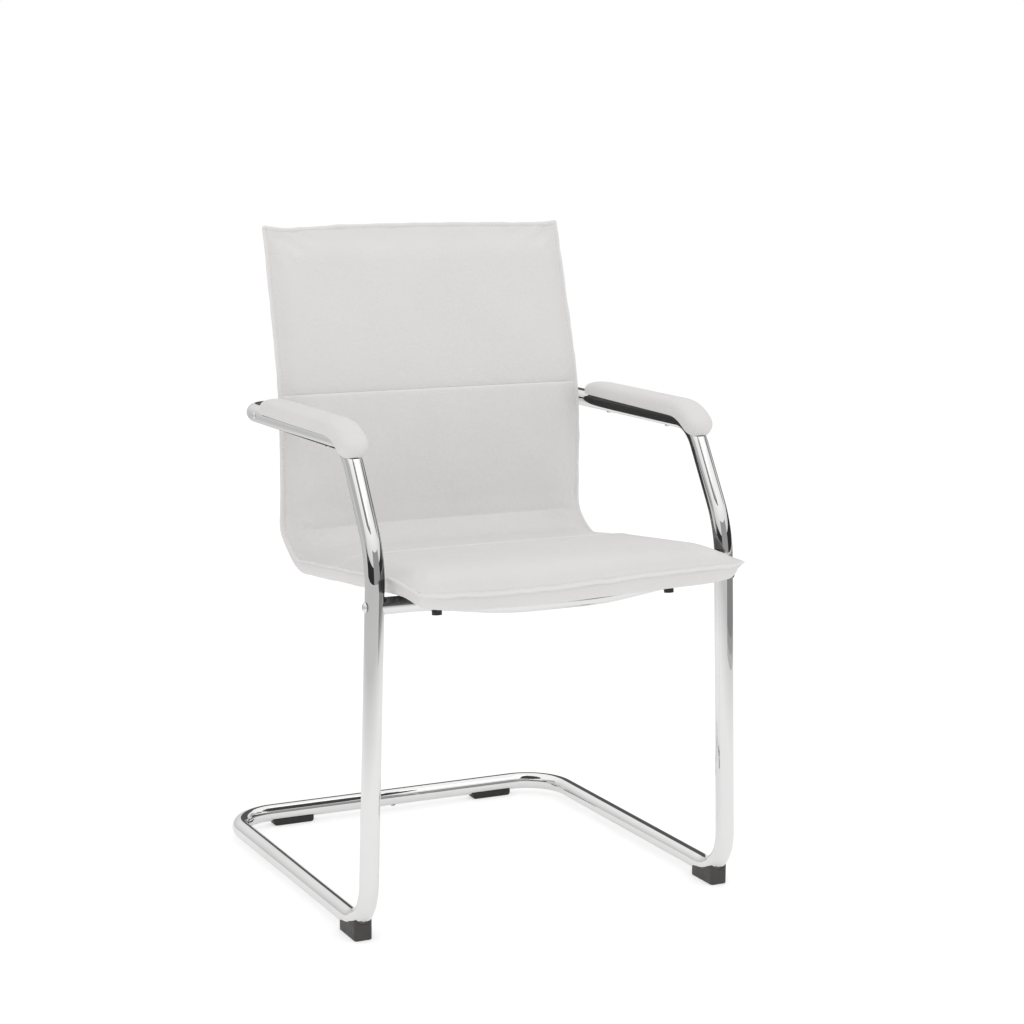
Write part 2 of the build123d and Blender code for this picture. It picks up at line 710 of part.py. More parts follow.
pad_screw = screw(pad_screw_head, pad_screw_head_height, pad_screw_diameter, head_seat + pad_screw_bite)
with BuildPart() as arm_pad_screws:
    for side, _ in sides:
        with Locations(*[below(side * arm_x, screw_y, arm_height - head_seat) for screw_y in pad_screw_ys]):
            add(pad_screw)
arm_pad_screws.part.label = "arm_pad_screws"
export_step(arm_pad_screws.part, "parts/arm_pad_screws.step")

# Front feet under the leg bends, rear glides under the floor bar
foot_y = leg_y + foot_front
for side, hand in sides:
    foot_envelope = swept_round(side_points(side)[2:5], foot_bend_radius, tube_radius + fit_gap)
    with BuildPart() as front_foot:
        with BuildSketch(Plane.YZ.offset(side * rail_x - foot_width / 2)):
            with BuildLine():
                Polyline((foot_y, 0), (foot_y + foot_length, 0), (foot_y + foot_length, foot_rear_height),
                         (foot_y, foot_front_height), close=True)
            make_face()
        extrude(amount=foot_width)
        fillet(front_foot.edges().filter_by(Axis.Z), foot_corner)
        fillet(front_foot.edges().group_by(Axis.Z)[0], foot_sole_round)
        add(foot_envelope, mode=Mode.SUBTRACT)
        with Locations((side * rail_x, foot_peg_y, rail_clearance - peg_root)):
            Cylinder(foot_peg / 2, peg_root + peg_height, align=(Align.CENTER, Align.CENTER, Align.MIN))
    front_foot.part.label = f"{hand}_front_foot"
    export_step(front_foot.part, f"parts/{hand}_front_foot.step")

    bar_envelope = swept_round(side_points(side)[3:], rear_bend_radius, tube_radius + fit_gap)
    with BuildPart() as rear_glide:
        with Locations((side * glide_centre, rear_y, 0)):
            Box(glide_length, glide_depth, glide_height, align=(Align.CENTER, Align.CENTER, Align.MIN))
        fillet(rear_glide.edges().group_by(Axis.Z)[0].filter_by(Axis.Y), glide_end_round)
        fillet(rear_glide.faces().sort_by(Axis.Z)[0].edges().filter_by(Axis.X), glide_sole_round)
        add(bar_envelope, mode=Mode.SUBTRACT)
        for peg_x in glide_peg_xs:
            with Locations((side * peg_x, rear_y, rail_clearance - peg_root)):
                Cylinder(foot_peg / 2, peg_root + peg_height, align=(Align.CENTER, Align.CENTER, Align.MIN))
    rear_glide.part.label = f"{hand}_rear_glide"
    export_step(rear_glide.part, f"parts/{hand}_rear_glide.step")
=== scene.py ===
import math

import bpy
import numpy as np
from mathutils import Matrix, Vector


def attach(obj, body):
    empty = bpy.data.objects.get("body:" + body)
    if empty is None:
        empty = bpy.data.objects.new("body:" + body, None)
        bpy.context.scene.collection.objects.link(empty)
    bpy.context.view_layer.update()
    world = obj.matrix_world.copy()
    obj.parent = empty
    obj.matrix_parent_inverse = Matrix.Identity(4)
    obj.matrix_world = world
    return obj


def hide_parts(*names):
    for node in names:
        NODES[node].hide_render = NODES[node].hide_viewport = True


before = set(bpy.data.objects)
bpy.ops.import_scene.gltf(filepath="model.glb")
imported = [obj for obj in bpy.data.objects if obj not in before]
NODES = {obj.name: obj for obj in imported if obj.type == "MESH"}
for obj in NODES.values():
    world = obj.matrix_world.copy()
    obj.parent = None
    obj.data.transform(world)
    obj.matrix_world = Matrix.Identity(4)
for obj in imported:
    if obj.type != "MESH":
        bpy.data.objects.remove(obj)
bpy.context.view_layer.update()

bl_info = {
    "name": "Cantilever armchair",
    "version": (1, 0, 0),
    "blender": (4, 5, 0),
    "location": "3D View > Sidebar > Armchair",
    "description": "Dresses the armchair's frame: polished tube, padded leather shell and arms, feet and "
                   "a white studio",
    "category": "Object",
}


def length(name, description, default):
    """A size in metres that a user may change."""
    return bpy.props.FloatProperty(name=name, description=description, default=default, unit="LENGTH", precision=4)


def angle(name, description, default):
    """An angle that a user may change, given in degrees."""
    return bpy.props.FloatProperty(
        name=name, description=description, default=math.radians(default), subtype="ANGLE"
    )


def colour(name, description, default):
    """A linear colour that a user may change."""
    return bpy.props.FloatVectorProperty(
        name=name, description=description, default=default, subtype="COLOR", min=0.0, max=1.0, size=3
    )


def number(name, description, default):
    """A plain number that a user may change."""
    return bpy.props.FloatProperty(name=name, description=description, default=default)


class ShellSettings(bpy.types.PropertyGroup):
    """Side view and padding of the seat and back shell"""

    nose_depth: length("Nose", "Where the seat's front edge lies", -0.317)
    nose_height: length("Nose height", "Height of the seat's front edge", 0.464)
    hump_run: length("Hump run", "Front edge to the highest line of the seat", 0.062)
    hump_height: length("Hump height", "Height of the seat's highest line", 0.4745)
    back_depth: length("Back", "Where the lower back lies", 0.147)
    seat_fall: length("Seat fall", "Drop of the seat from its hump to the back", 0.038)
    lumbar_height: length("Lumbar height", "Where the upper back starts to lean", 0.653)
    back_height: length("Back height", "Height of the top edge", 0.890)
    back_lean: length("Back lean", "How far the upper back leans", 0.069)
    nose_bend: length("Nose bend", "Radius over the hump", 0.200)
    seat_bend: length("Seat bend", "Radius between the seat and the back", 0.064)
    lumbar_bend: length("Lumbar bend", "Radius at the lumbar line", 0.450)
    half_width: length("Half width", "Middle to the outer edge of the welt", 0.2335)
    top_taper: length("Top taper", "How much narrower each side is at the top", 0.0042)
    welt_width: length("Welt width", "Width of the sewn edge", 0.0074)
    seat_crown: length("Seat crown", "Height of the padding on the seat", 0.0155)
    back_crown: length("Back crown", "Height of the padding on the back", 0.0130)
    back_seam: length("Back seam", "Height of the seam across the back", 0.661)
    seat_seam: length("Seat seam", "Where the seam across the seat lies", -0.051)
    box_depth: length("Box depth", "Depth of the boxed rear cover", 0.0205)
    front_drop: length("Front drop", "How much deeper the box is along its front", 0.0050)
    welt_droop: length("Welt droop", "How far the welt hangs down along the front", 0.0034)
    stitch_pitch: length("Stitch pitch", "Spacing of the stitches along the welt", 0.0052)
    leather: colour("Leather", "Colour of the white leather", (0.802, 0.786, 0.781))
    thread: colour("Thread", "Colour of the stitching", (0.86, 0.855, 0.84))


class ArmSettings(bpy.types.PropertyGroup):
    """Arm pads"""

    spread: length("Arm spread", "Middle of the chair to an arm's axis", 0.251)
    height: length("Arm height", "Height of an arm's axis", 0.6345)
    rear: length("Pad rear", "Where a pad's rear tip lies", 0.140)
    bend_start: length("Bend start", "Where the arm starts to bend down", -0.1147)
    bend: length("Arm bend", "Radius of the arm's front bend", 0.060)
    wrap: angle("Wrap", "How far a pad follows the front bend", 52.5)
    half_width: length("Pad half width", "Half a pad's width", 0.021)
    low: length("Pad low", "A pad's lower edge above the arm's axis", 0.0060)
    tilt: length("Pad tilt", "How much higher the lower edge is inside than outside, at the rear", 0.0042)
    high: length("Pad high", "A pad's crown above the arm's axis", 0.0292)


class FrameSettings(bpy.types.PropertyGroup):
    """Finishes of the frame, feet and hidden pieces"""

    chrome: colour("Chrome", "Tint of the plating", (0.87, 0.87, 0.865))
    steel: colour("Steel", "Tint of the plain steel", (0.55, 0.55, 0.56))
    foot: colour("Feet", "Colour of the front feet", (0.058, 0.054, 0.051))
    black: colour("Black plastic", "Colour of glides, caps and pad bases", (0.018, 0.017, 0.016))
    plywood: colour("Plywood", "Colour of the shell's board", (0.62, 0.46, 0.30))
    foam: colour("Foam", "Colour of the shell's foam", (0.85, 0.80, 0.66))


class StudioSettings(bpy.types.PropertyGroup):
    """Camera and light"""

    target: bpy.props.FloatVectorProperty(
        name="Target", description="Point that the camera faces", default=(0.0, 0.033, 0.45), subtype="TRANSLATION"
    )
    azimuth: angle("Azimuth", "Camera's turn about the chair", -25.11)
    elevation: angle("Elevation", "Camera's height above the horizon", 10.38)
    distance: length("Distance", "Camera to target", 3.2204)
    lens: number("Lens", "Focal length in millimetres", 81.42)
    shift: bpy.props.FloatVectorProperty(
        name="Shift", description="Framing shift, as shares of the frame", default=(0.0430, 0.0353), size=2
    )
    key: number("Key", "Power of the large soft lamp", 13.0)
    fill: number("Fill", "Strength of the light from all round", 0.795)
    glow: number("Floor glow", "How far the floor is lifted to white", 0.14)
    bounce: number("Floor bounce", "Light from the floor onto the chair", 0.36)


# Shape helpers

PATH_POINTS = 4001   # points along a bent path
CURVE_POINTS = 801   # points along a soft curve
CURVE_WINDOW = 61    # points over which its corners are rounded


def bend_path(corners, radii):
    """Distances, points and headings along a flat path of straight runs and arcs."""
    runs = [np.subtract(b, a) for a, b in zip(corners, corners[1:])]
    headings = np.unwrap([math.atan2(run[1], run[0]) for run in runs])
    knots, turns, reached, used = [0.0], [headings[0]], 0.0, 0.0
    for run, radius, before, after in zip(runs, radii, headings, headings[1:]):
        reach = radius * math.tan(abs(after - before) / 2)
        reached += math.hypot(*run) - used - reach
        knots.append(reached)
        turns.append(before)
        reached += radius * abs(after - before)
        knots.append(reached)
        turns.append(after)
        used = reach
    knots.append(reached + math.hypot(*runs[-1]) - used)
    turns.append(headings[-1])
    along = np.linspace(0.0, knots[-1], PATH_POINTS)
    heading = np.interp(along, knots, turns)
    middle = (heading[1:] + heading[:-1]) / 2
    moves = np.stack([np.cos(middle), np.sin(middle)], axis=1) * along[1]
    points = np.vstack([[corners[0]], corners[0] + np.cumsum(moves, axis=0)])
    return along, points, heading


def smooth_curve(stops):
    """A soft curve through a few stops, as a lookup."""
    xs, ys = np.array(stops, float).T
    grid = np.linspace(xs[0], xs[-1], CURVE_POINTS)
    line = np.pad(np.interp(grid, xs, ys), CURVE_WINDOW // 2, mode="edge")
    weights = np.hanning(CURVE_WINDOW + 2)
    soft = np.convolve(line, weights[1:-1] / weights.sum(), mode="valid")
    return lambda value: np.interp(value, grid, soft)


def roll(distance, reach):
    """Rises like a quarter round from 0 at an edge to 1 at a distance from it."""
    share = np.clip(np.asarray(distance) / reach, 0.0, 1.0)
    return np.sqrt(1.0 - (1.0 - share) ** 2)


def swell(distance, reach):
    """Rises softly from 0 at a sewn edge to 1 at a distance from it."""
    return np.sin(math.pi / 2 * np.clip(np.asarray(distance) / reach, 0.0, 1.0))


def near(distance, reach):
    """Falls evenly from 1 at an edge to 0 at a distance from it."""
    return np.clip(1 - distance / reach, 0, 1)


def fade(distance, reach):
    """Falls from 1 at an edge, fast at first."""
    return np.exp(-distance / reach)


def ridge(distance, width):
    """1 on a line, falling softly on both sides of it."""
    return np.exp(-(distance / width) ** 2)


def waver(value, seed, waves):
    """A smooth wave made of a few sines, about -1 to 1, the same each run."""
    total = np.zeros_like(np.asarray(value, float))
    for turn, (period, share) in enumerate(waves):
        total += share * np.sin(2 * math.pi * value / period + seed * 1.7 + turn * 2.3)
    return total


# Uneven sewing of the front and top edges: across the chair, then the lift or shift, in metres
FRONT_LIFT = smooth_curve([
    (-0.24, 0.0050), (-0.222, 0.0036), (-0.19, 0.0005), (-0.14, -0.0020), (-0.075, -0.0028), (-0.01, -0.0012),
    (0.06, 0.0022), (0.12, 0.0046), (0.18, 0.0052), (0.222, 0.0066), (0.24, 0.0080),
])
TOP_SHIFT = smooth_curve([
    (-0.24, 0.0030), (-0.226, 0.0016), (-0.20, -0.0026), (-0.16, -0.0008), (-0.114, 0.0014), (0.0, 0.0020),
    (0.10, 0.0012), (0.17, -0.0004), (0.205, -0.0008), (0.228, 0.0018), (0.24, 0.0030),
])
# How far the uneven sewing reaches back from the front edge, and down from the top edge
FRONT_REACH, TOP_REACH = 0.085, 0.070
# How far from the front corners the welt's droop fades out, and how far below the back seam the taper starts
DROOP_FADE, TAPER_BELOW = 0.022, 0.05
# The fold between the seat and the back, pinched at both ends: its height, the pinch's reach up, down and inwards,
# its depth, and how far it pushes the edge out as a share of the width
FOLD_HEIGHT = 0.474
PINCH_UP, PINCH_DOWN, PINCH_IN = 0.030, 0.013, 0.018
PINCH_DEPTH, PINCH_SPREAD = 0.0065, 0.0075


class ShellSurface:
    """The shell's middle surface: points across it, along it and raised towards the sitter."""

    def __init__(self, shell):
        hump = shell.nose_depth + shell.hump_run
        corners = [
            (shell.nose_depth, shell.nose_height),
            (hump, shell.hump_height),
            (shell.back_depth, shell.hump_height - shell.seat_fall),
            (shell.back_depth, shell.lumbar_height),
            (shell.back_depth + shell.back_lean, shell.back_height),
        ]
        radii = (shell.nose_bend, shell.seat_bend, shell.lumbar_bend)
        self.along, self.points, self.heading = bend_path(corners, radii)
        self.length = self.along[-1]
        self.half = shell.half_width
        self.taper = shell.top_taper / shell.half_width
        self.taper_start = self.at_height(shell.back_seam - TAPER_BELOW)
        self.fold = self.at_height(FOLD_HEIGHT)
        self.droop, self.droop_reach = shell.welt_droop, shell.welt_width + 0.001

    def at_height(self, height):
        """Distance along the shell to a height on its back."""
        start = len(self.along) // 2
        return float(np.interp(height, self.points[start:, 1], self.along[start:]))

    def at_depth(self, depth):
        """Distance along the shell to a depth on its seat."""
        end = len(self.along) // 3
        return float(np.interp(depth, self.points[:end, 0], self.along[:end]))

    def place(self, across, along, rise):
        """Points on the surface, with the uneven sewing of its edges and the pinched ends of its fold."""
        across, along, rise = np.broadcast_arrays(
            np.asarray(across, float), np.asarray(along, float), np.asarray(rise, float)
        )
        from_side = self.half - np.abs(across)
        hang = np.clip(1 - along / self.droop_reach, 0, 1.2) * np.clip(from_side / DROOP_FADE, 0, 1)
        rise = rise + FRONT_LIFT(across) * near(along, FRONT_REACH) ** 2 - self.droop * hang
        above = along - self.fold
        pinch = ridge(above, np.where(above > 0, PINCH_UP, PINCH_DOWN)) * near(from_side, PINCH_IN)
        rise = rise - PINCH_DEPTH * pinch
        across = across * (1 + PINCH_SPREAD * pinch)
        along = along + TOP_SHIFT(across) * near(self.length - along, TOP_REACH) ** 2
        upper = np.clip((along - self.taper_start) / (self.length - self.taper_start), 0, 1)
        across = across * (1 - self.taper * upper)
        past = np.maximum(along - self.length, 0) + np.minimum(along, 0)
        y = np.interp(along, self.along, self.points[:, 0])
        z = np.interp(along, self.along, self.points[:, 1])
        heading = np.interp(along, self.along, self.heading)
        y = y + past * np.cos(heading) - rise * np.sin(heading)
        z = z + past * np.sin(heading) + rise * np.cos(heading)
        return np.stack([across, y, z], axis=-1)


# Modelling helpers


def deselect():
    """Leaves edit mode and selects nothing."""
    if bpy.context.object and bpy.context.object.mode != "OBJECT":
        bpy.ops.object.mode_set(mode="OBJECT")
    bpy.ops.object.select_all(action="DESELECT")


def activate(piece):
    """Makes one piece the only selected one."""
    deselect()
    piece.select_set(True)
    bpy.context.view_layer.objects.active = piece


def coordinates(piece):
    """A mesh's vertex places as an array."""
    places = np.empty(len(piece.data.vertices) * 3)
    piece.data.vertices.foreach_get("co", places)
    return places.reshape(-1, 3)


def set_coordinates(piece, places):
    """Moves a mesh's vertices."""
    piece.data.vertices.foreach_set("co", np.ascontiguousarray(places, dtype=np.float32).ravel())
    piece.data.update()


def grid_piece(name, columns, rows):
    """A flat grid with its column and row numbers."""
    deselect()
    bpy.ops.mesh.primitive_grid_add(x_subdivisions=columns, y_subdivisions=rows, size=2.0)
    piece = bpy.context.object
    piece.name = name
    piece.data.name = name
    flat = coordinates(piece)
    column = np.rint((flat[:, 0] + 1) / 2 * columns).astype(int)
    row = np.rint((flat[:, 1] + 1) / 2 * rows).astype(int)
    return piece, column, row


def add_object(name, data):
    """Puts a mesh, lamp or camera into the scene."""
    piece = bpy.data.objects.new(name, data)
    bpy.context.scene.collection.objects.link(piece)
    return piece


def mesh_piece(name, points, faces):
    """A new piece from its points and faces."""
    mesh = bpy.data.meshes.new(name)
    mesh.from_pydata(points.tolist(), [], faces)
    mesh.update()
    return add_object(name, mesh)


def ring_strip(name, rings, closed_along, closed_round):
    """A piece skinned over rings of points: an array of ring, point, xyz."""
    count, around = rings.shape[:2]
    faces = []
    for ring in range(count if closed_along else count - 1):
        here, there = ring * around, (ring + 1) % count * around
        for turn in range(around if closed_round else around - 1):
            following = (turn + 1) % around
            faces.append((here + turn, there + turn, there + following, here + following))
    return mesh_piece(name, rings.reshape(-1, 3), faces)


def apply_all(piece):
    """Applies a piece's modifiers in order."""
    activate(piece)
    for modifier in list(piece.modifiers):
        bpy.ops.object.modifier_apply(modifier=modifier.name)


def start_edit(piece, action="SELECT"):
    """Enters edit mode with all of a piece selected, or none of it."""
    activate(piece)
    bpy.ops.object.mode_set(mode="EDIT")
    bpy.ops.mesh.select_all(action=action)


def merge_and_face_out(piece, gap):
    """Merges doubled vertices and turns the faces outwards."""
    start_edit(piece)
    bpy.ops.mesh.remove_doubles(threshold=gap)
    bpy.ops.mesh.normals_make_consistent(inside=False)
    bpy.ops.object.mode_set(mode="OBJECT")


def shade_smooth(piece):
    """Shades a piece as one smooth surface."""
    activate(piece)
    bpy.ops.object.shade_smooth()


def set_painted_edge_light(piece, painted_shading):
    """Stores the painted highlight and painted shade along the leather's sewn edges: how much lighter or darker its
    colour is made there.
    """
    layer = piece.data.attributes.new("painted_edge_light", "FLOAT", "POINT")
    layer.data.foreach_set("value", np.ascontiguousarray(painted_shading, dtype=np.float32))


def hand_over(piece, material, slot, *nodes):
    """Gives a finished piece its material, body and the nodes it stands for; its record slot is not used."""
    piece.data.materials.clear()
    piece.data.materials.append(material)
    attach(piece, "root")
    if nodes:
        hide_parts(*nodes)


def sew_up(piece, leather, node, thickness=0.0, levels=1):
    """Gives a leather piece its thickness and soft shape, then its material and the node it stands for."""
    if thickness:
        skin = piece.modifiers.new("skin", "SOLIDIFY")
        skin.thickness = thickness
        skin.offset = -1.0
    soft = piece.modifiers.new("soft", "SUBSURF")
    soft.levels = soft.render_levels = levels
    apply_all(piece)
    shade_smooth(piece)
    hand_over(piece, leather, "white_leather", node)


# Materials

# What polished tube mirrors in place of the white leather: a painted dark reflection
MIRRORED_LEATHER = (0.025, 0.025, 0.025, 1.0)
# How much a painted edge light of 1 lightens the leather: painted highlight above 0, painted shade below 0
EDGE_SHARE = 0.18


def feed(tree, node, inputs):
    """Gives each input of a node its value, or links it to the output that feeds it."""
    for socket, value in inputs.items():
        if isinstance(value, bpy.types.NodeSocket):
            tree.links.new(value, node.inputs[socket])
        else:
            node.inputs[socket].default_value = value


def add_node(tree, kind, inputs=None, **settings):
    """Adds a shader node with its settings and inputs."""
    node = tree.nodes.new("ShaderNode" + kind)
    for name, value in settings.items():
        setattr(node, name, value)
    feed(tree, node, inputs or {})
    return node


def reckon(tree, operation, *values):
    """The result of one step of arithmetic."""
    return add_node(tree, "Math", dict(enumerate(values)), operation=operation).outputs["Value"]


def map_range(tree, value, *limits):
    """A value carried over from one span to another."""
    names = ("From Min", "From Max", "To Min", "To Max")
    return add_node(tree, "MapRange", {"Value": value, **dict(zip(names, limits))}).outputs["Result"]


def mix_values(tree, factor, first, second):
    """A value between two others."""
    return add_node(tree, "Mix", {"Factor": factor, "A": first, "B": second}).outputs["Result"]


def mix_colours(tree, factor, first, second, blend="MIX"):
    """Two colours mixed or multiplied: the node's sockets 6 and 7 take them, and 2 gives the result."""
    mix = add_node(tree, "Mix", {"Factor": factor, 6: first, 7: second}, data_type="RGBA", blend_type=blend)
    return mix.outputs[2]


def start_group(name, output, **inputs):
    """A node group with numbers in and one number out."""
    group = bpy.data.node_groups.new(name, "ShaderNodeTree")
    for label, default in inputs.items():
        socket = group.interface.new_socket(name=label, in_out="INPUT", socket_type="NodeSocketFloat")
        socket.default_value = default
    group.interface.new_socket(name=output, in_out="OUTPUT", socket_type="NodeSocketFloat")
    inside, outside = group.nodes.new("NodeGroupInput"), group.nodes.new("NodeGroupOutput")
    return group, inside.outputs, outside


def mottle_group():
    """Soft uneven value between two limits, for roughness and tone."""
    found = bpy.data.node_groups.get("soft_mottle")
    if found:
        return found
    group, given, outside = start_group("soft_mottle", "Value", Scale=20.0, Low=0.3, High=0.5)
    place = add_node(group, "TexCoord").outputs["Object"]
    noise = add_node(group, "TexNoise", {"Vector": place, "Scale": given["Scale"], "Detail": 4.0})
    value = map_range(group, noise.outputs["Fac"], 0.3, 0.7, given["Low"], given["High"])
    feed(group, outside, {"Value": value})
    return group


def pebble_group():
    """Height of a pebbled skin: rounded cells, finer cells on them, and slow swells."""
    found = bpy.data.node_groups.get("pebble_height")
    if found:
        return found
    group, given, outside = start_group("pebble_height", "Height", Scale=450.0, Swell=0.6)
    place = add_node(group, "TexCoord").outputs["Object"]
    warp = add_node(group, "TexNoise", {"Vector": place, "Scale": 160.0})
    push = add_node(group, "VectorMath", {0: warp.outputs["Color"], 1: (0.004, 0.004, 0.004), 2: place},
                    operation="MULTIPLY_ADD").outputs["Vector"]
    cells = add_node(group, "TexVoronoi", {"Vector": push, "Scale": given["Scale"], "Smoothness": 0.6},
                     feature="SMOOTH_F1")
    grains = add_node(group, "TexVoronoi", {"Vector": push, "Scale": reckon(group, "MULTIPLY", given["Scale"], 2.7)})
    dips = reckon(group, "MULTIPLY_ADD", grains.outputs["Distance"], 0.35, cells.outputs["Distance"])
    swells = add_node(group, "TexNoise", {"Vector": place, "Scale": 55.0, "Detail": 5.0})
    pebbles = reckon(group, "SUBTRACT", 1.0, dips)
    feed(group, outside, {"Height": reckon(group, "MULTIPLY_ADD", swells.outputs["Fac"], given["Swell"], pebbles)})
    return group


def mottle(tree, scale, low, high):
    """A soft uneven value."""
    inputs = {"Scale": scale, "Low": low, "High": high}
    return add_node(tree, "Group", inputs, node_tree=mottle_group()).outputs["Value"]


def tone(tree, base, scale, low, high):
    """A colour that varies softly between two shares of itself."""
    return mix_colours(tree, 1.0, (*base, 1.0), mottle(tree, scale, low, high), "MULTIPLY")


def bump(tree, scale, swells, strength, depth):
    """Pebbled relief."""
    pebbles = add_node(tree, "Group", {"Scale": scale, "Swell": swells}, node_tree=pebble_group())
    inputs = {"Strength": strength, "Distance": depth, "Height": pebbles.outputs["Height"]}
    return add_node(tree, "Bump", inputs).outputs["Normal"]


def mirrored(tree):
    """1 for what the camera sees in polished tube, 0 for all else."""
    path = add_node(tree, "LightPath").outputs
    return reckon(tree, "MULTIPLY", path["Is Singular Ray"], reckon(tree, "LESS_THAN", path["Diffuse Depth"], 0.5))


def bare_material(name):
    """A node material with its tree and nothing in it but the output."""
    material = bpy.data.materials.new(name)
    material.use_nodes = True
    tree = material.node_tree
    tree.nodes.clear()
    return material, tree, add_node(tree, "OutputMaterial")


def make_material(name, base, paint, rough=None, relief=None, others=None):
    """A material from its paint (the values of its tone, or a function), roughness, relief and other inputs."""
    found = bpy.data.materials.get(name)
    if found:
        return found
    material = bpy.data.materials.new(name)
    material.use_nodes = True
    tree = material.node_tree
    inputs = dict(others or {})
    inputs["Base Color"] = paint(tree, base) if callable(paint) else tone(tree, base, *paint)
    inputs["Roughness"] = mottle(tree, *rough) if rough else 0.0
    if relief:
        inputs["Normal"] = bump(tree, *relief)
    feed(tree, tree.nodes["Principled BSDF"], inputs)
    return material


def leather_paint(tree, base):
    """Uneven white, with painted highlights and painted shade along sewn edges, and a painted dark reflection where
    polished tube mirrors it.
    """
    edge = add_node(tree, "Attribute", attribute_name="painted_edge_light").outputs["Fac"]
    share = reckon(tree, "MULTIPLY_ADD", edge, EDGE_SHARE, 1.0)
    # Random mottled tone, times the painted highlight and painted shade along the sewn edges
    mottled_with_painted_edges = mix_colours(tree, 1.0, tone(tree, base, 14.0, 0.975, 1.0), share, "MULTIPLY")
    return mix_colours(tree, mirrored(tree), mottled_with_painted_edges, MIRRORED_LEATHER)


def leather_material(name, base, grain=1.0):
    """Leather with a pebbled grain and a soft sheen."""
    sheen = {"Specular IOR Level": 0.42, "Sheen Weight": 0.06, "Sheen Roughness": 0.45}
    return make_material(name, base, leather_paint, (60.0, 0.40, 0.54), (430.0, 0.7, 0.42 * grain, 0.0006), sheen)


def wood_paint(tree, base):
    """Layered grain along a board."""
    place = add_node(tree, "TexCoord").outputs["Object"]
    wave = add_node(tree, "TexWave", {"Vector": place, "Scale": 18.0, "Distortion": 6.0, "Detail": 3.0})
    ramp = add_node(tree, "ValToRGB", {"Fac": wave.outputs["Fac"]})
    dark, light = ramp.color_ramp.elements
    dark.color = (base[0] * 0.72, base[1] * 0.68, base[2] * 0.62, 1.0)
    light.color = (*base, 1.0)
    return ramp.outputs["Color"]


# Operators

WELD_GAP = 0.00001               # doubled points of the CAD meshes are merged within this
CREASE_ANGLE = math.radians(32)  # sharper edges of the CAD meshes stay sharp
# Tones of the finishes, as scale and limits, and their relief, as scale, swells, strength and depth
PLATED, MOULDED, FOAMED = (9.0, 0.96, 1.0), (40.0, 0.82, 1.08), (120.0, 0.86, 1.0)
MOULDED_SKIN, FOAM_SKIN = (1500.0, 0.2, 0.25, 0.0002), (700.0, 0.1, 0.5, 0.0006)


class ARMCHAIR_OT_finish_frame(bpy.types.Operator):
    """Polishes the tube frame and gives the hardware, feet and hidden pieces their finishes"""

    bl_idname = "armchair.finish_frame"
    bl_label = "Finish frame and hardware"

    def execute(self, context):
        finish = context.scene.armchair_frame
        metal = {"Metallic": 1.0}
        chrome = make_material("bright_chrome", finish.chrome, PLATED, others=metal)
        screw = make_material("plated_screw", finish.chrome, PLATED, (30.0, 0.10, 0.20), others=metal)
        steel = make_material("zinc_steel", finish.steel, PLATED, (30.0, 0.30, 0.45), others=metal)
        foot = make_material("grey_foot_plastic", finish.foot, MOULDED, (90.0, 0.42, 0.60), MOULDED_SKIN)
        black = make_material("moulded_black_plastic", finish.black, MOULDED, (90.0, 0.38, 0.55), MOULDED_SKIN)
        board = make_material("moulded_plywood", finish.plywood, wood_paint, (50.0, 0.5, 0.7))
        foam = make_material("open_cell_foam", finish.foam, FOAMED, (200.0, 0.85, 0.98), FOAM_SKIN)
        finishes = {
            chrome: ("left_side_tube", "right_side_tube", "back_bow", "seat_crossbar", "back_spacers"),
            screw: ("bow_screws", "rear_bar_screw", "leg_screws", "arm_pad_screws"),
            steel: ("arm_spigots", "rear_bar_spigot", "crossbar_plugs", "seat_nuts", "back_nuts", "seat_bolts",
                    "back_bolts"),
            foot: ("left_front_foot", "right_front_foot"),
            black: ("left_rear_glide", "right_rear_glide", "seat_bolt_caps", "seat_spacers", "left_arm_base",
                    "right_arm_base"),
            board: ("shell_board",),
            foam: ("foam_sheet",),
        }
        for material, names in finishes.items():
            for name in names:
                node = NODES[name]
                node.data.materials.clear()
                node.data.materials.append(material)
                node.data.polygons.foreach_set("use_smooth", [True] * len(node.data.polygons))
                weld = node.modifiers.new("weld", "WELD")
                weld.merge_threshold = WELD_GAP
                crease = node.modifiers.new("crease", "EDGE_SPLIT")
                crease.split_angle = CREASE_ANGLE
        return {"FINISHED"}


# Soft wrinkles pressed into the leather: across and along at both ends, half width and depth, in millimetres.
# Along is counted upwards from the fold between the seat and the back, from the top edge and from the front edge.
FOLD_WRINKLES = (
    (-224, 46, -209, 5, 4.0, 1.9), (-213, 42, -199, 3, 4.5, 2.2), (-203, 52, -192, 88, 5.0, -0.8),
    (-214, -20, -188, -7, 5.0, 1.7), (-205, -34, -170, -12, 6.0, 1.1), (-221, -10, -206, -44, 4.5, -1.2),
    (224, 42, 210, 5, 4.0, 1.0), (213, 40, 201, 4, 5.0, 0.9), (213, -18, 186, -6, 5.0, 1.0),
    (205, -34, 160, -14, 7.0, 0.9), (204, 44, 195, 84, 5.0, -0.6),
)
TOP_WRINKLES = (
    (-221, -3, -176, -44, 7.0, -1.9), (-214, -18, -198, -58, 6.0, -1.2), (-196, -6, -150, -26, 6.0, -1.0),
    (221, -3, 182, -38, 7.0, -1.7), (214, -20, 203, -60, 6.0, -1.1), (190, -6, 150, -22, 6.0, -0.9),
)
FRONT_WRINKLES = (
    (-221, 3, -186, 34, 7.0, -1.8), (-206, 5, -165, 20, 6.0, -1.2), (-216, 22, -202, 62, 5.0, -1.1),
    (221, 3, 184, 32, 7.0, -1.9), (205, 6, 160, 22, 6.0, -1.1), (216, 24, 203, 66, 5.0, -1.0),
)
# A wrinkle throws up a rim beside it: the rim's share of the depth, and its distance in half widths
RIM_SHARE, RIM_GAP = 0.45, 1.9


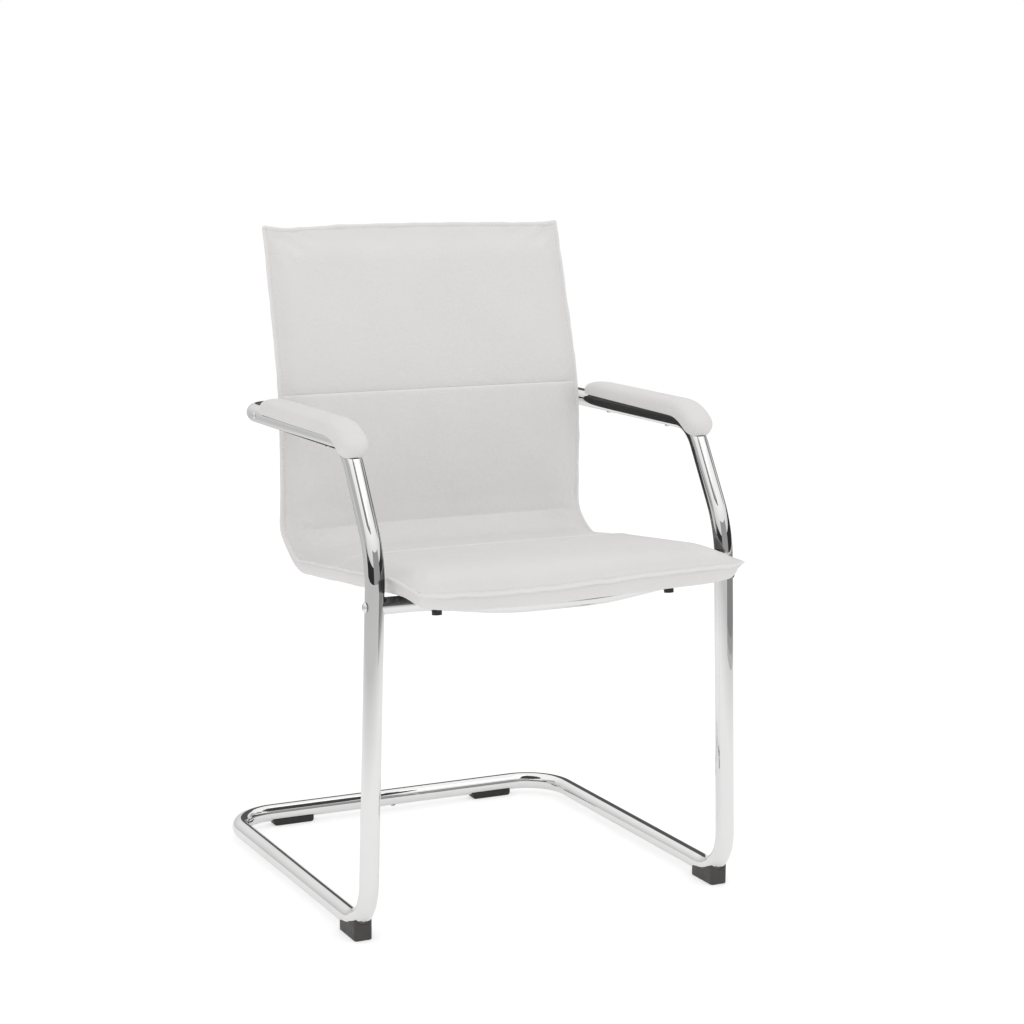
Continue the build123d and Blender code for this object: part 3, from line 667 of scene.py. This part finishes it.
def press_wrinkles(across, along, origin, wrinkles):
    """How far a set of wrinkles presses the leather in, or lifts it."""
    total = np.zeros_like(across)
    for x0, s0, x1, s1, half, depth in np.array(wrinkles) / 1000.0:
        run = np.array([x1 - x0, s1 - s0])
        share = ((across - x0) * run[0] + (along - origin - s0) * run[1]) / (run @ run)
        share = np.clip(share, 0, 1)
        gap = np.hypot(across - x0 - share * run[0], along - origin - s0 - share * run[1])
        ends = np.sin(math.pi * np.clip(0.12 + 0.88 * share, 0, 1)) ** 0.7
        total += depth * ends * (ridge(gap, half) - RIM_SHARE * ridge(gap - RIM_GAP * half, half))
    return total


# How the leather behaves as cloth while it swells over its padding
CLOTH = {
    "quality": 6, "mass": 0.6, "tension_stiffness": 25.0, "compression_stiffness": 25.0, "shear_stiffness": 12.0,
    "bending_stiffness": 3.0, "tension_damping": 15.0, "compression_damping": 15.0, "air_damping": 4.0,
    "use_pressure": True, "uniform_pressure_force": 0.5, "shrink_min": -0.012, "vertex_group_mass": "seam_hold",
    "pin_stiffness": 4.0,
}
CLOTH_FRAMES = 24
SEAM_HOLD, PADDING_HOLD = 1.0, 0.45   # how firmly the seams and the padding hold the leather
SWELL_LIMIT = 0.005                   # no point moves further than this


def simulate_leather(piece, sewn):
    """Lets the leather swell over its padding as cloth, held along its seams."""
    before = coordinates(piece)
    hold = piece.vertex_groups.new(name="seam_hold")
    for chosen, level in ((~sewn, PADDING_HOLD), (sewn, SEAM_HOLD)):
        hold.add(np.nonzero(chosen)[0].tolist(), level, "REPLACE")
    cloth = piece.modifiers.new("leather", "CLOTH")
    for setting, value in CLOTH.items():
        setattr(cloth.settings, setting, value)
    cloth.settings.effector_weights.gravity = 0.0
    cloth.collision_settings.use_collision = False
    cloth.point_cache.frame_start = 1
    cloth.point_cache.frame_end = CLOTH_FRAMES
    scene = bpy.context.scene
    for count in range(1, CLOTH_FRAMES + 1):
        scene.frame_set(count)
    activate(piece)
    bpy.ops.object.modifier_apply(modifier=cloth.name)
    scene.frame_set(1)
    moved = coordinates(piece) - before
    reach = np.linalg.norm(moved, axis=1, keepdims=True)
    moved *= np.minimum(1.0, SWELL_LIMIT / np.maximum(reach, 1e-9))
    set_coordinates(piece, before + moved)
    piece.vertex_groups.clear()


PANEL_COLUMNS = 100
EXTRA_ROWS = {"seat_panel": 8, "lower_back_panel": 30}   # for the lines that lie closer together
SEWN = 0.0002                                            # height of the leather where it is sewn down
PANEL_SKIN, COVER_SKIN = 0.0009, 0.0012                  # thickness of the leather
# The crease of the fold: depth, half width, roundness, and where it stops short of the sides and fades in
CREASE_DEPTH, CREASE_WIDTH, CREASE_ROUND = 0.0072, 0.012, 0.0008
CREASE_STOP, CREASE_FADE = 0.012, 0.040
CREASE_DIP = 0.004                                       # how far its right end runs down


def panel_lines(node, start, end, half, fold):
    """Where a panel's cross lines lie: closer together in the fold and at the seat seam."""
    rows = round((end - start) / (2 * half) * PANEL_COLUMNS) + EXTRA_ROWS.get(node, 0)
    lines = np.linspace(start, end, 2001)
    closeness = np.ones_like(lines)
    if node == "lower_back_panel":
        closeness += 3.5 * ridge(lines - fold, 0.013) + 8 * fade(lines - start, 0.005)
    elif node == "seat_panel":
        closeness += 8 * fade(end - lines, 0.005)
    reached = np.concatenate([[0], np.cumsum(closeness[1:])])
    return np.interp(np.linspace(0, reached[-1], rows + 1), reached, lines)


def fold_crease(across, along, fold, from_side):
    """How deep the fold between the seat and the back creases the leather."""
    fold = fold - CREASE_DIP * np.clip(-across / 0.11 - 0.9, 0, 1)
    off_fold = np.sqrt((along - fold) ** 2 + CREASE_ROUND ** 2)
    return CREASE_DEPTH * fade(off_fold, CREASE_WIDTH) * swell(np.maximum(from_side - CREASE_STOP, 0), CREASE_FADE)


def panel_painted_light(node, from_side, from_start, from_end, from_welt):
    """Painted highlight along a panel's cross seams, and painted shade beside the welt: amounts, each over a width.
    """
    to_seat_seam = {"seat_panel": from_end, "lower_back_panel": from_start}.get(node, np.inf)
    # Painted highlight: a light line along the seat seam, on both panels
    light = 1.1 * ridge(to_seat_seam, 0.0016) * swell(from_side, 0.012)
    # Painted shade: a dark groove beside the welt, and a soft dark band just inside it
    dark = 0.3 * ridge(from_welt, 0.0022) + 0.18 * ridge(from_welt - 0.010, 0.011)
    if node == "upper_back_panel":
        # Painted shade on the upper back just above the back seam
        dark = dark + 0.3 * fade(from_start, 0.006) * swell(from_side, 0.02)
    elif node == "lower_back_panel":
        # Painted highlight on the lower back's lip at the back seam
        light = light + 0.5 * fade(from_end, 0.003)
    return light - dark


def start_shell(context):
    """The shell's settings, its surface and its leather."""
    shell = context.scene.armchair_shell
    return shell, ShellSurface(shell), leather_material("grained_white_leather", shell.leather)


class ARMCHAIR_OT_upholster_panels(bpy.types.Operator):
    """Makes the three padded leather panels of the seat and back"""

    bl_idname = "armchair.upholster_panels"
    bl_label = "Upholster seat and back"

    def execute(self, context):
        shell, surface, leather = start_shell(context)
        edge = shell.welt_width * 0.50
        half = shell.half_width - edge
        seat_seam = surface.at_depth(shell.seat_seam)
        back_seam = surface.at_height(shell.back_seam)
        seat_crown, back_crown = shell.seat_crown, shell.back_crown
        # Piece, node, crown, reach of the swell from the sides, wrinkles and where they are counted from. Then for
        # the start and the end: where it lies, how the leather rises from it, over what reach and from what height.
        panels = (
            ("seat_leather", "seat_panel", seat_crown, 0.036, FRONT_WRINKLES, 0.0,
             (edge, swell, 0.047, SEWN),
             (seat_seam + 0.0004, swell, 0.0040, seat_crown + 0.0010)),
            ("lower_back_leather", "lower_back_panel", back_crown, 0.042, FOLD_WRINKLES, surface.fold,
             (seat_seam - 0.0002, swell, 0.110, seat_crown),
             (back_seam + 0.0002, roll, 0.003, back_crown - 0.0004)),
            ("upper_back_leather", "upper_back_panel", back_crown, 0.047, TOP_WRINKLES, surface.length,
             (back_seam - 0.0018, swell, 0.012, back_crown - 0.0015),
             (surface.length - edge, swell, 0.052, SEWN)),
        )
        for name, node, crown, side_reach, wrinkles, origin, first, final in panels:
            start, start_curve, start_reach, start_low = first
            end, end_curve, end_reach, end_low = final
            stations = panel_lines(node, start, end, half, surface.fold)
            rows = len(stations) - 1
            piece, column, row = grid_piece(name, PANEL_COLUMNS, rows)
            across = (column / PANEL_COLUMNS * 2 - 1) * half
            along = stations[row]
            from_side = half - np.abs(across)
            from_start, from_end = along - start, end - along
            from_welt = from_side
            if node == "seat_panel":
                from_welt = np.minimum(from_side, from_start)
            elif node == "upper_back_panel":
                from_welt = np.minimum(from_side, from_end)
            side_rise = swell(from_side, side_reach) * (0.90 + 0.10 * np.cos(across / half * math.pi / 2))
            start_rise = start_low + (crown - start_low) * start_curve(from_start, start_reach)
            end_rise = end_low + (crown - end_low) * end_curve(from_end, end_reach)
            rise = SEWN + (start_rise + end_rise - crown - SEWN) * side_rise
            if node == "lower_back_panel":
                rise = rise - fold_crease(across, along, surface.fold, from_side)
                rise = rise + 0.0009 * fade(from_start, 0.003) * swell(from_side, 0.020)
            rise = rise + press_wrinkles(across, along, origin, wrinkles)
            rise = np.maximum(rise, np.minimum(0.0014, SEWN + 0.4 * from_welt))
            set_coordinates(piece, surface.place(across, along, rise))
            set_painted_edge_light(piece, panel_painted_light(node, from_side, from_start, from_end, from_welt))
            simulate_leather(piece, (column % PANEL_COLUMNS == 0) | (row % rows == 0))
            sew_up(piece, leather, node, PANEL_SKIN)
        return {"FINISHED"}


# The rear cover's close lines, from the welt inwards: inset from the edge, and share of the box's depth
COVER_INSETS = np.array([0.0030, 0.0018, 0.0013, 0.0013, 0.0017, 0.0027, 0.0047, 0.0080, 0.0140, 0.0240])
COVER_DEPTHS = np.array([0.0, 0.12, 0.26, 0.45, 0.64, 0.81, 0.93, 0.99, 1.0, 1.0])
COVER_LAST = len(COVER_INSETS) - 1
COVER_COLUMNS, COVER_ROWS = 76, 150
COVER_GAP = 0.0018                         # the cover's edge lies this far inside the welt's
TOP_BOX, TOP_ROUND = 0.0045, 0.040         # depth of the box at the top edge, and how far down it rounds off
SIDE_DRAW, LEAN_DRAW = 0.0015, 0.0060      # how far the box draws in, everywhere and behind the upper back
FRONT_TUCK, TUCK_REACH = 0.009, 0.075      # how far it tucks in under the seat's front, and how far back
EAR_TUCK, EAR_WIDTH, EAR_REACH = 0.008, 0.055, 0.025   # how far its front corners tuck back, and how wide


def from_cover_edge(line, count, full):
    """Distance from the nearer edge: close lines along it, even ones further in."""
    line = np.minimum(line, count - line)
    last_inset = COVER_INSETS[COVER_LAST]
    inner = last_inset + (line - COVER_LAST) / (count / 2 - COVER_LAST) * (full / 2 - last_inset)
    return np.where(line <= COVER_LAST, COVER_INSETS[np.minimum(line, COVER_LAST)], inner)


class ARMCHAIR_OT_box_rear_cover(bpy.types.Operator):
    """Makes the boxed leather cover over the shell's back and underside"""

    bl_idname = "armchair.box_rear_cover"
    bl_label = "Box the rear cover"

    def execute(self, context):
        shell, surface, leather = start_shell(context)
        piece, column, row = grid_piece("rear_cover_leather", COVER_COLUMNS, COVER_ROWS)
        half = shell.half_width - COVER_GAP
        side_gap = from_cover_edge(column, COVER_COLUMNS, 2 * half)
        end_gap = from_cover_edge(row, COVER_ROWS, surface.length)
        ring = np.minimum.reduce([column, COVER_COLUMNS - column, row, COVER_ROWS - row])
        ring = np.minimum(ring, COVER_LAST)
        share = COVER_DEPTHS[ring]
        along = np.where(row * 2 <= COVER_ROWS, end_gap, surface.length - end_gap)
        sign = np.where(column * 2 <= COVER_COLUMNS, 1.0, -1.0)

        taper = near(surface.length - along, TOP_ROUND)
        box = TOP_BOX + (shell.box_depth - TOP_BOX) * np.sqrt(1 - taper ** 2)
        sag = 1 - 0.8 * near(side_gap, half) ** 2.5
        box = box + shell.front_drop * sag * near(along, 0.050) ** 2
        lifted = np.maximum(FRONT_LIFT(sign * (half - side_gap)), 0) * near(along, FRONT_REACH) ** 2
        box = box + 0.4 * lifted

        lean = np.clip((along - surface.at_height(shell.back_seam + 0.015)) / 0.12, 0, 1)
        ear = 0.45 * np.minimum(share / 0.2, 1) + 0.55 * share ** 2
        tuck = FRONT_TUCK * near(along, TUCK_REACH) ** 2
        draw = (SIDE_DRAW + LEAN_DRAW * lean) * share + tuck * ear
        along = along + EAR_TUCK * ear * near(side_gap, EAR_WIDTH) ** 2 * near(along, EAR_REACH)
        across = sign * (half - side_gap - draw * near(side_gap, half))
        crown = 0.0016 * roll(side_gap, 0.08) * roll(end_gap, 0.06) * (ring >= COVER_LAST)
        wave = 0.0005 * waver(along, 3, ((0.11, 0.6), (0.047, 0.4))) * (ring > 1) * (ring < COVER_LAST)
        set_coordinates(piece, surface.place(across, along, -share * box - crown + wave))
        sew_up(piece, leather, "rear_cover", COVER_SKIN)
        return {"FINISHED"}


WELT_CORNER, WELT_STEP = 0.0045, 0.004   # radius of the welt's corners, and spacing of its sections
# The welt's upper face from its inner edge outwards: share of its width, and height
WELT_FACE = ((1.0, 0.0009), (0.86, 0.0013), (0.70, 0.0016), (0.45, 0.0018), (0.18, 0.0016), (0.04, 0.0011))
WELT_RIM, WELT_NOTCH = (0.0003, 0.0004), (0.0008, 0.0)   # its outer rim, and the notch where its two layers meet
STITCH_RADIUS, STITCH_LENGTH = 0.00036, 0.0030
STITCH_LINE, STITCH_RISE = 0.62, 0.00172   # the row of stitches: share of the welt's width, and height


def welt_line(surface, half, corner, step):
    """The shell's outline in its flat layout, with the direction inwards at each point."""
    full = surface.length
    flat_across, flat_along = half - corner, full / 2 - corner
    points, inward = [], []
    for quarter, (cx, cs) in enumerate(((1, -1), (1, 1), (-1, 1), (-1, -1))):
        centre = np.array([cx * flat_across, full / 2 + cs * flat_along])
        start = math.radians(-90 + 90 * quarter)
        for turn in range(9):
            heading = start + math.radians(90) * turn / 8
            out = np.array([math.cos(heading), math.sin(heading)])
            points.append(centre + out * corner)
            inward.append(-out)
        run = 2 * (flat_along if quarter % 2 == 0 else flat_across)
        count = round(run / step)
        move = np.array([-out[1], out[0]])
        for turn in range(1, count):
            points.append(centre + out * corner + move * run * turn / count)
            inward.append(-out)
    return np.array(points), np.array(inward)


def edge_wave(travel):
    """How far the sewn edge wanders off its line: up and inwards."""
    lift = 0.0007 * waver(travel, 1, ((0.083, 0.6), (0.037, 0.4)))
    shift = 0.0004 * waver(travel, 5, ((0.061, 0.6), (0.029, 0.4)))
    return lift, shift


def stitch_shape():
    """One stitch, thinner towards its ends: its points and faces."""
    deselect()
    bpy.ops.mesh.primitive_cylinder_add(
        vertices=6, radius=STITCH_RADIUS, depth=STITCH_LENGTH, end_fill_type="TRIFAN"
    )
    sample = bpy.context.object
    start_edit(sample)
    bpy.ops.mesh.subdivide(number_cuts=1)
    bpy.ops.object.mode_set(mode="OBJECT")
    shape = coordinates(sample)
    ends = 1 - np.clip((np.abs(shape[:, 2]) - 0.0009) / 0.0008, 0, 1) ** 2
    shape[:, :2] *= (0.35 + 0.65 * ends)[:, None]
    faces = [tuple(face.vertices) for face in sample.data.polygons]
    bpy.data.objects.remove(sample)
    return shape, faces


class ARMCHAIR_OT_sew_welt(bpy.types.Operator):
    """Sews the front and rear covers together in a welt with a row of stitches"""

    bl_idname = "armchair.sew_welt"
    bl_label = "Sew the welt"

    def execute(self, context):
        shell, surface, leather = start_shell(context)
        line, inward = welt_line(surface, shell.half_width, WELT_CORNER, WELT_STEP)
        gaps = np.linalg.norm(np.roll(line, -1, axis=0) - line, axis=1)
        travel = np.concatenate([[0], np.cumsum(gaps)[:-1]])
        lift, shift = edge_wave(travel)
        reach = shell.welt_width
        upper = np.array([(reach * share, height) for share, height in WELT_FACE] + [WELT_RIM])
        section = np.vstack([upper, [WELT_NOTCH], (upper * (1, -1))[::-1]])
        flat = line[:, None, :] + inward[:, None, :] * (section[None, :, 0:1] + shift[:, None, None])
        rise = section[None, :, 1] + lift[:, None]
        rings = surface.place(flat[..., 0], flat[..., 1], rise)
        piece = ring_strip("edge_welt_leather", rings, True, True)
        # Painted highlight on the welt's outer rim, fading to painted shade at its inner edge
        painted_shading = np.interp(section[:, 0], [0, reach * 0.3, reach], [0.4, 0.1, -0.2])
        set_painted_edge_light(piece, np.tile(painted_shading, len(line)))
        merge_and_face_out(piece, 1e-5)
        sew_up(piece, leather, "edge_welt")

        thread = leather_material("sewing_thread", shell.thread, 0.2)
        shape, faces = stitch_shape()
        count = round(travel[-1] / shell.stitch_pitch)
        stations = (np.arange(count) + 0.5) / count * travel[-1]
        places, skins = [], []
        for face_side in (1, -1):
            for station in stations:
                along = station + shape[:, 2]
                here = np.stack([np.interp(along, travel, line[:, axis]) for axis in (0, 1)], axis=1)
                into = np.stack([np.interp(along, travel, inward[:, axis]) for axis in (0, 1)], axis=1)
                wave_lift, wave_shift = edge_wave(along)
                flat = here + into * (reach * STITCH_LINE + wave_shift + shape[:, 0])[:, None]
                rise = wave_lift + face_side * STITCH_RISE + shape[:, 1]
                start = len(places) * len(shape)
                places.append(surface.place(flat[:, 0], flat[:, 1], rise))
                skins.extend(tuple(start + vertex for vertex in face) for face in faces)
        stitches = mesh_piece("welt_stitches", np.vstack(places), skins)
        shade_smooth(stitches)
        hand_over(stitches, thread, "white_leather")
        return {"FINISHED"}


# An arm pad's section from its underside up to its crown: inset from its widest line, and share of its height
PAD_SECTION = (
    (0.0100, 0.0), (0.0030, 0.0), (0.0010, 0.015), (0.0003, 0.06), (0.0, 0.14), (0.0, 0.28), (0.0001, 0.42),
    (0.0006, 0.54), (0.0016, 0.66), (0.0032, 0.765), (0.0055, 0.855), (0.0085, 0.918), (0.0120, 0.958),
    (0.0155, 0.982), (0.0185, 0.996), (0.0206, 1.0),
)
PAD_SIDE_POINTS, PAD_END_POINTS = 48, 20
TIP_ROUND, REAR_ROUND = 0.65, 0.6       # how blunt a pad's front tip and rear tip are: lower is blunter
REAR_NARROW, NARROW_REACH = 0.10, 0.09  # share by which a pad narrows to its rear tip, and over what length
REAR_THIN, THIN_REACH = 0.22, 0.045     # share by which it thins there, and over what length
PAD_MERGE = 0.0009                      # points closer than this become one


class ARMCHAIR_OT_pad_arms(bpy.types.Operator):
    """Makes the two padded leather arm pads"""

    bl_idname = "armchair.pad_arms"
    bl_label = "Pad the arms"

    def execute(self, context):
        arm = context.scene.armchair_arm
        shell = context.scene.armchair_shell
        leather = leather_material("grained_white_leather", shell.leather)
        straight = arm.rear - arm.bend_start
        full = straight + arm.bend * arm.wrap
        run = np.linspace(arm.half_width, full - arm.half_width, PAD_SIDE_POINTS)
        turn = np.linspace(-math.pi / 2, math.pi / 2, PAD_END_POINTS + 2)[1:-1]
        for hand, side in (("left", 1), ("right", -1)):
            rings = []
            for inset, height in PAD_SECTION:
                radius = arm.half_width - inset
                flank = np.full(PAD_SIDE_POINTS, radius)
                along = np.concatenate([run, full - arm.half_width + radius * np.cos(turn) ** TIP_ROUND,
                                        run[::-1], arm.half_width - radius * np.cos(turn) ** REAR_ROUND])
                across = np.concatenate([-flank, radius * np.sin(turn), flank, -radius * np.sin(turn)])
                across = across * (1 - REAR_NARROW * near(along, NARROW_REACH) ** 2)
                bend = np.maximum(along - straight, 0) / arm.bend
                thinned = 1 - REAR_THIN * near(along, THIN_REACH) ** 2
                inner = 0.5 - 0.5 * side * across / arm.half_width
                low = arm.low + arm.tilt * inner * near(along, straight)
                level = low + (arm.high - low) * height * thinned
                radial = arm.bend + level
                y = np.where(bend > 0, arm.bend_start - radial * np.sin(bend), arm.rear - along)
                z = np.where(bend > 0, arm.height - arm.bend + radial * np.cos(bend), arm.height + level)
                rings.append(np.stack([side * arm.spread + across, y, z], axis=1))
            piece = ring_strip(f"{hand}_arm_pad_leather", np.array(rings), False, True)
            start_edit(piece, "DESELECT")
            bpy.ops.mesh.select_non_manifold()
            bpy.ops.mesh.edge_face_add()
            bpy.ops.object.mode_set(mode="OBJECT")
            merge_and_face_out(piece, PAD_MERGE)
            sew_up(piece, leather, f"{hand}_arm_pad", levels=2)
        return {"FINISHED"}


# Cards round the chair: from and to in degrees round it from the front, then reach, low and high in metres
# and brightness
CARDS = (
    (-47, -12, 3.0, 3.0, 5.4, 0.24), (-135, -80, 3.0, 0.75, 2.05, 0.50), (70, 97, 3.0, 1.75, 2.60, 0.24),
    (97, 126, 3.0, 0.70, 2.05, 0.48), (-95, -30, 3.0, 0.30, 1.00, 0.03), (-30, 34, 3.0, 0.30, 1.85, 0.33),
    (34, 112, 3.0, 0.30, 1.15, 0.03), (18, 108, 1.7, 0.0, 0.035, 0.50),
    (18, 108, 1.7, 0.035, 0.075, 0.36), (18, 108, 1.7, 0.075, 0.34, 0.26), (138, 167, 3.0, 0.22, 2.30, 0.10),
)
FLOOR_RADIUS, FLOOR_GREY = 6.0, (0.70, 0.70, 0.70, 1.0)
KEY_SIZE, KEY_PLACE, KEY_AIM = (2.8, 2.4), (0.2, -0.9, 3.3), (0, 0, 0.5)


class ARMCHAIR_OT_set_studio(bpy.types.Operator):
    """Sets up the white floor, the soft light and the camera"""

    bl_idname = "armchair.set_studio"
    bl_label = "Set the studio"

    def lay_floor(self, studio):
        """A white floor that keeps the chair's shadow and looks greyer far off in reflections."""
        deselect()
        bpy.ops.mesh.primitive_circle_add(vertices=96, radius=FLOOR_RADIUS, fill_type="NGON")
        floor = bpy.context.object
        floor.name = "studio_floor"
        material, tree, out = bare_material("studio_floor")
        path = add_node(tree, "LightPath").outputs
        place = add_node(tree, "TexCoord").outputs["Object"]
        reach = add_node(tree, "VectorMath", {0: place}, operation="LENGTH").outputs["Value"]
        far = map_range(tree, reach, 1.0, 2.10, 0.31, 0.0)
        plain = reckon(tree, "MAXIMUM", path["Is Camera Ray"], path["Is Transmission Ray"])
        lifted = reckon(tree, "MULTIPLY_ADD", plain, studio.glow, studio.bounce)
        strength = mix_values(tree, path["Is Glossy Ray"], lifted, far)
        matt = add_node(tree, "BsdfDiffuse", {"Color": FLOOR_GREY}).outputs["BSDF"]
        glow = add_node(tree, "Emission", {"Strength": strength}).outputs["Emission"]
        feed(tree, out, {"Surface": add_node(tree, "AddShader", {0: matt, 1: glow}).outputs["Shader"]})
        floor.data.materials.append(material)

    def hang_cards(self):
        """Dark and grey cards round the chair, seen only in the polished tube."""
        for count, (start, end, reach, low, high, shade) in enumerate(CARDS):
            turns = np.radians(np.linspace(start, end, 25))
            edges = [[(reach * math.sin(turn), -reach * math.cos(turn), z) for turn in turns] for z in (low, high)]
            name = f"studio_card_{count + 1}"
            card = ring_strip(name, np.array(edges), False, False)
            material, tree, out = bare_material(name)
            clear = add_node(tree, "BsdfTransparent").outputs["BSDF"]
            glow = add_node(tree, "Emission", {"Strength": shade}).outputs["Emission"]
            mix = add_node(tree, "MixShader", {"Fac": mirrored(tree), 1: clear, 2: glow})
            feed(tree, out, {"Surface": mix.outputs["Shader"]})
            card.data.materials.append(material)
            card.visible_camera = False
            card.visible_diffuse = False
            card.visible_shadow = False

    def fill_round(self, scene, studio):
        """Even light from all round: white behind the chair, greyer near the horizon in the tube."""
        world = bpy.data.worlds.new("white_studio")
        world.use_nodes = True
        scene.world = world
        tree = world.node_tree
        path = add_node(tree, "LightPath").outputs
        place = add_node(tree, "TexCoord").outputs["Generated"]
        height = add_node(tree, "SeparateXYZ", {"Vector": place}).outputs["Z"]
        shiny = mix_values(tree, path["Is Glossy Ray"], studio.fill, map_range(tree, height, 0.05, 0.75, 0.62, 1.05))
        plain = reckon(tree, "MAXIMUM", path["Is Camera Ray"], path["Is Transmission Ray"])
        strength = mix_values(tree, plain, shiny, 1.0)
        feed(tree, tree.nodes["Background"], {"Color": (1.0, 1.0, 1.0, 1.0), "Strength": strength})

    def execute(self, context):
        studio = context.scene.armchair_studio
        scene = context.scene
        scene.view_settings.view_transform = "Standard"
        self.lay_floor(studio)
        self.hang_cards()
        self.fill_round(scene, studio)

        lamp = bpy.data.lights.new("soft_key", "AREA")
        lamp.shape = "RECTANGLE"
        lamp.size, lamp.size_y = KEY_SIZE
        lamp.energy = studio.key
        key = add_object("soft_key", lamp)
        key.location = KEY_PLACE
        key.rotation_euler = (Vector(KEY_AIM) - key.location).to_track_quat("-Z", "Y").to_euler()

        data = bpy.data.cameras.new("photo_camera")
        camera = add_object("photo_camera", data)
        turn, tilt = studio.azimuth, studio.elevation
        back = Vector((math.sin(turn) * math.cos(tilt), -math.cos(turn) * math.cos(tilt), math.sin(tilt)))
        camera.location = Vector(studio.target) + back * studio.distance
        camera.rotation_euler = (-back).to_track_quat("-Z", "Y").to_euler()
        data.sensor_width = 36.0
        data.lens = studio.lens
        data.shift_x, data.shift_y = studio.shift
        data.clip_end = 50.0
        scene.camera = camera
        return {"FINISHED"}


class ARMCHAIR_PT_sidebar(bpy.types.Panel):
    """Lists the armchair's sizes and steps"""

    bl_idname = "ARMCHAIR_PT_sidebar"
    bl_label = "Armchair"
    bl_space_type = "VIEW_3D"
    bl_region_type = "UI"
    bl_category = "Armchair"

    def draw(self, context):
        for operator in OPERATORS:
            self.layout.operator(operator.bl_idname)
        for name in SETTINGS:
            settings = getattr(context.scene, name)
            for prop in settings.bl_rna.properties:
                if prop.identifier not in ("rna_type", "name"):
                    self.layout.prop(settings, prop.identifier)


SETTINGS = {
    "armchair_shell": ShellSettings,
    "armchair_arm": ArmSettings,
    "armchair_frame": FrameSettings,
    "armchair_studio": StudioSettings,
}
OPERATORS = (
    ARMCHAIR_OT_finish_frame,
    ARMCHAIR_OT_upholster_panels,
    ARMCHAIR_OT_box_rear_cover,
    ARMCHAIR_OT_sew_welt,
    ARMCHAIR_OT_pad_arms,
    ARMCHAIR_OT_set_studio,
)


def register():
    for name, settings in SETTINGS.items():
        bpy.utils.register_class(settings)
        setattr(bpy.types.Scene, name, bpy.props.PointerProperty(type=settings))
    for operator in OPERATORS:
        bpy.utils.register_class(operator)
    bpy.utils.register_class(ARMCHAIR_PT_sidebar)


def unregister():
    bpy.utils.unregister_class(ARMCHAIR_PT_sidebar)
    for operator in reversed(OPERATORS):
        bpy.utils.unregister_class(operator)
    for name, settings in SETTINGS.items():
        delattr(bpy.types.Scene, name)
        bpy.utils.unregister_class(settings)


def main():
    register()
    bpy.ops.armchair.finish_frame()
    bpy.ops.armchair.upholster_panels()
    bpy.ops.armchair.box_rear_cover()
    bpy.ops.armchair.sew_welt()
    bpy.ops.armchair.pad_arms()
    bpy.ops.armchair.set_studio()
    deselect()


if __name__ == "__main__":
    main()
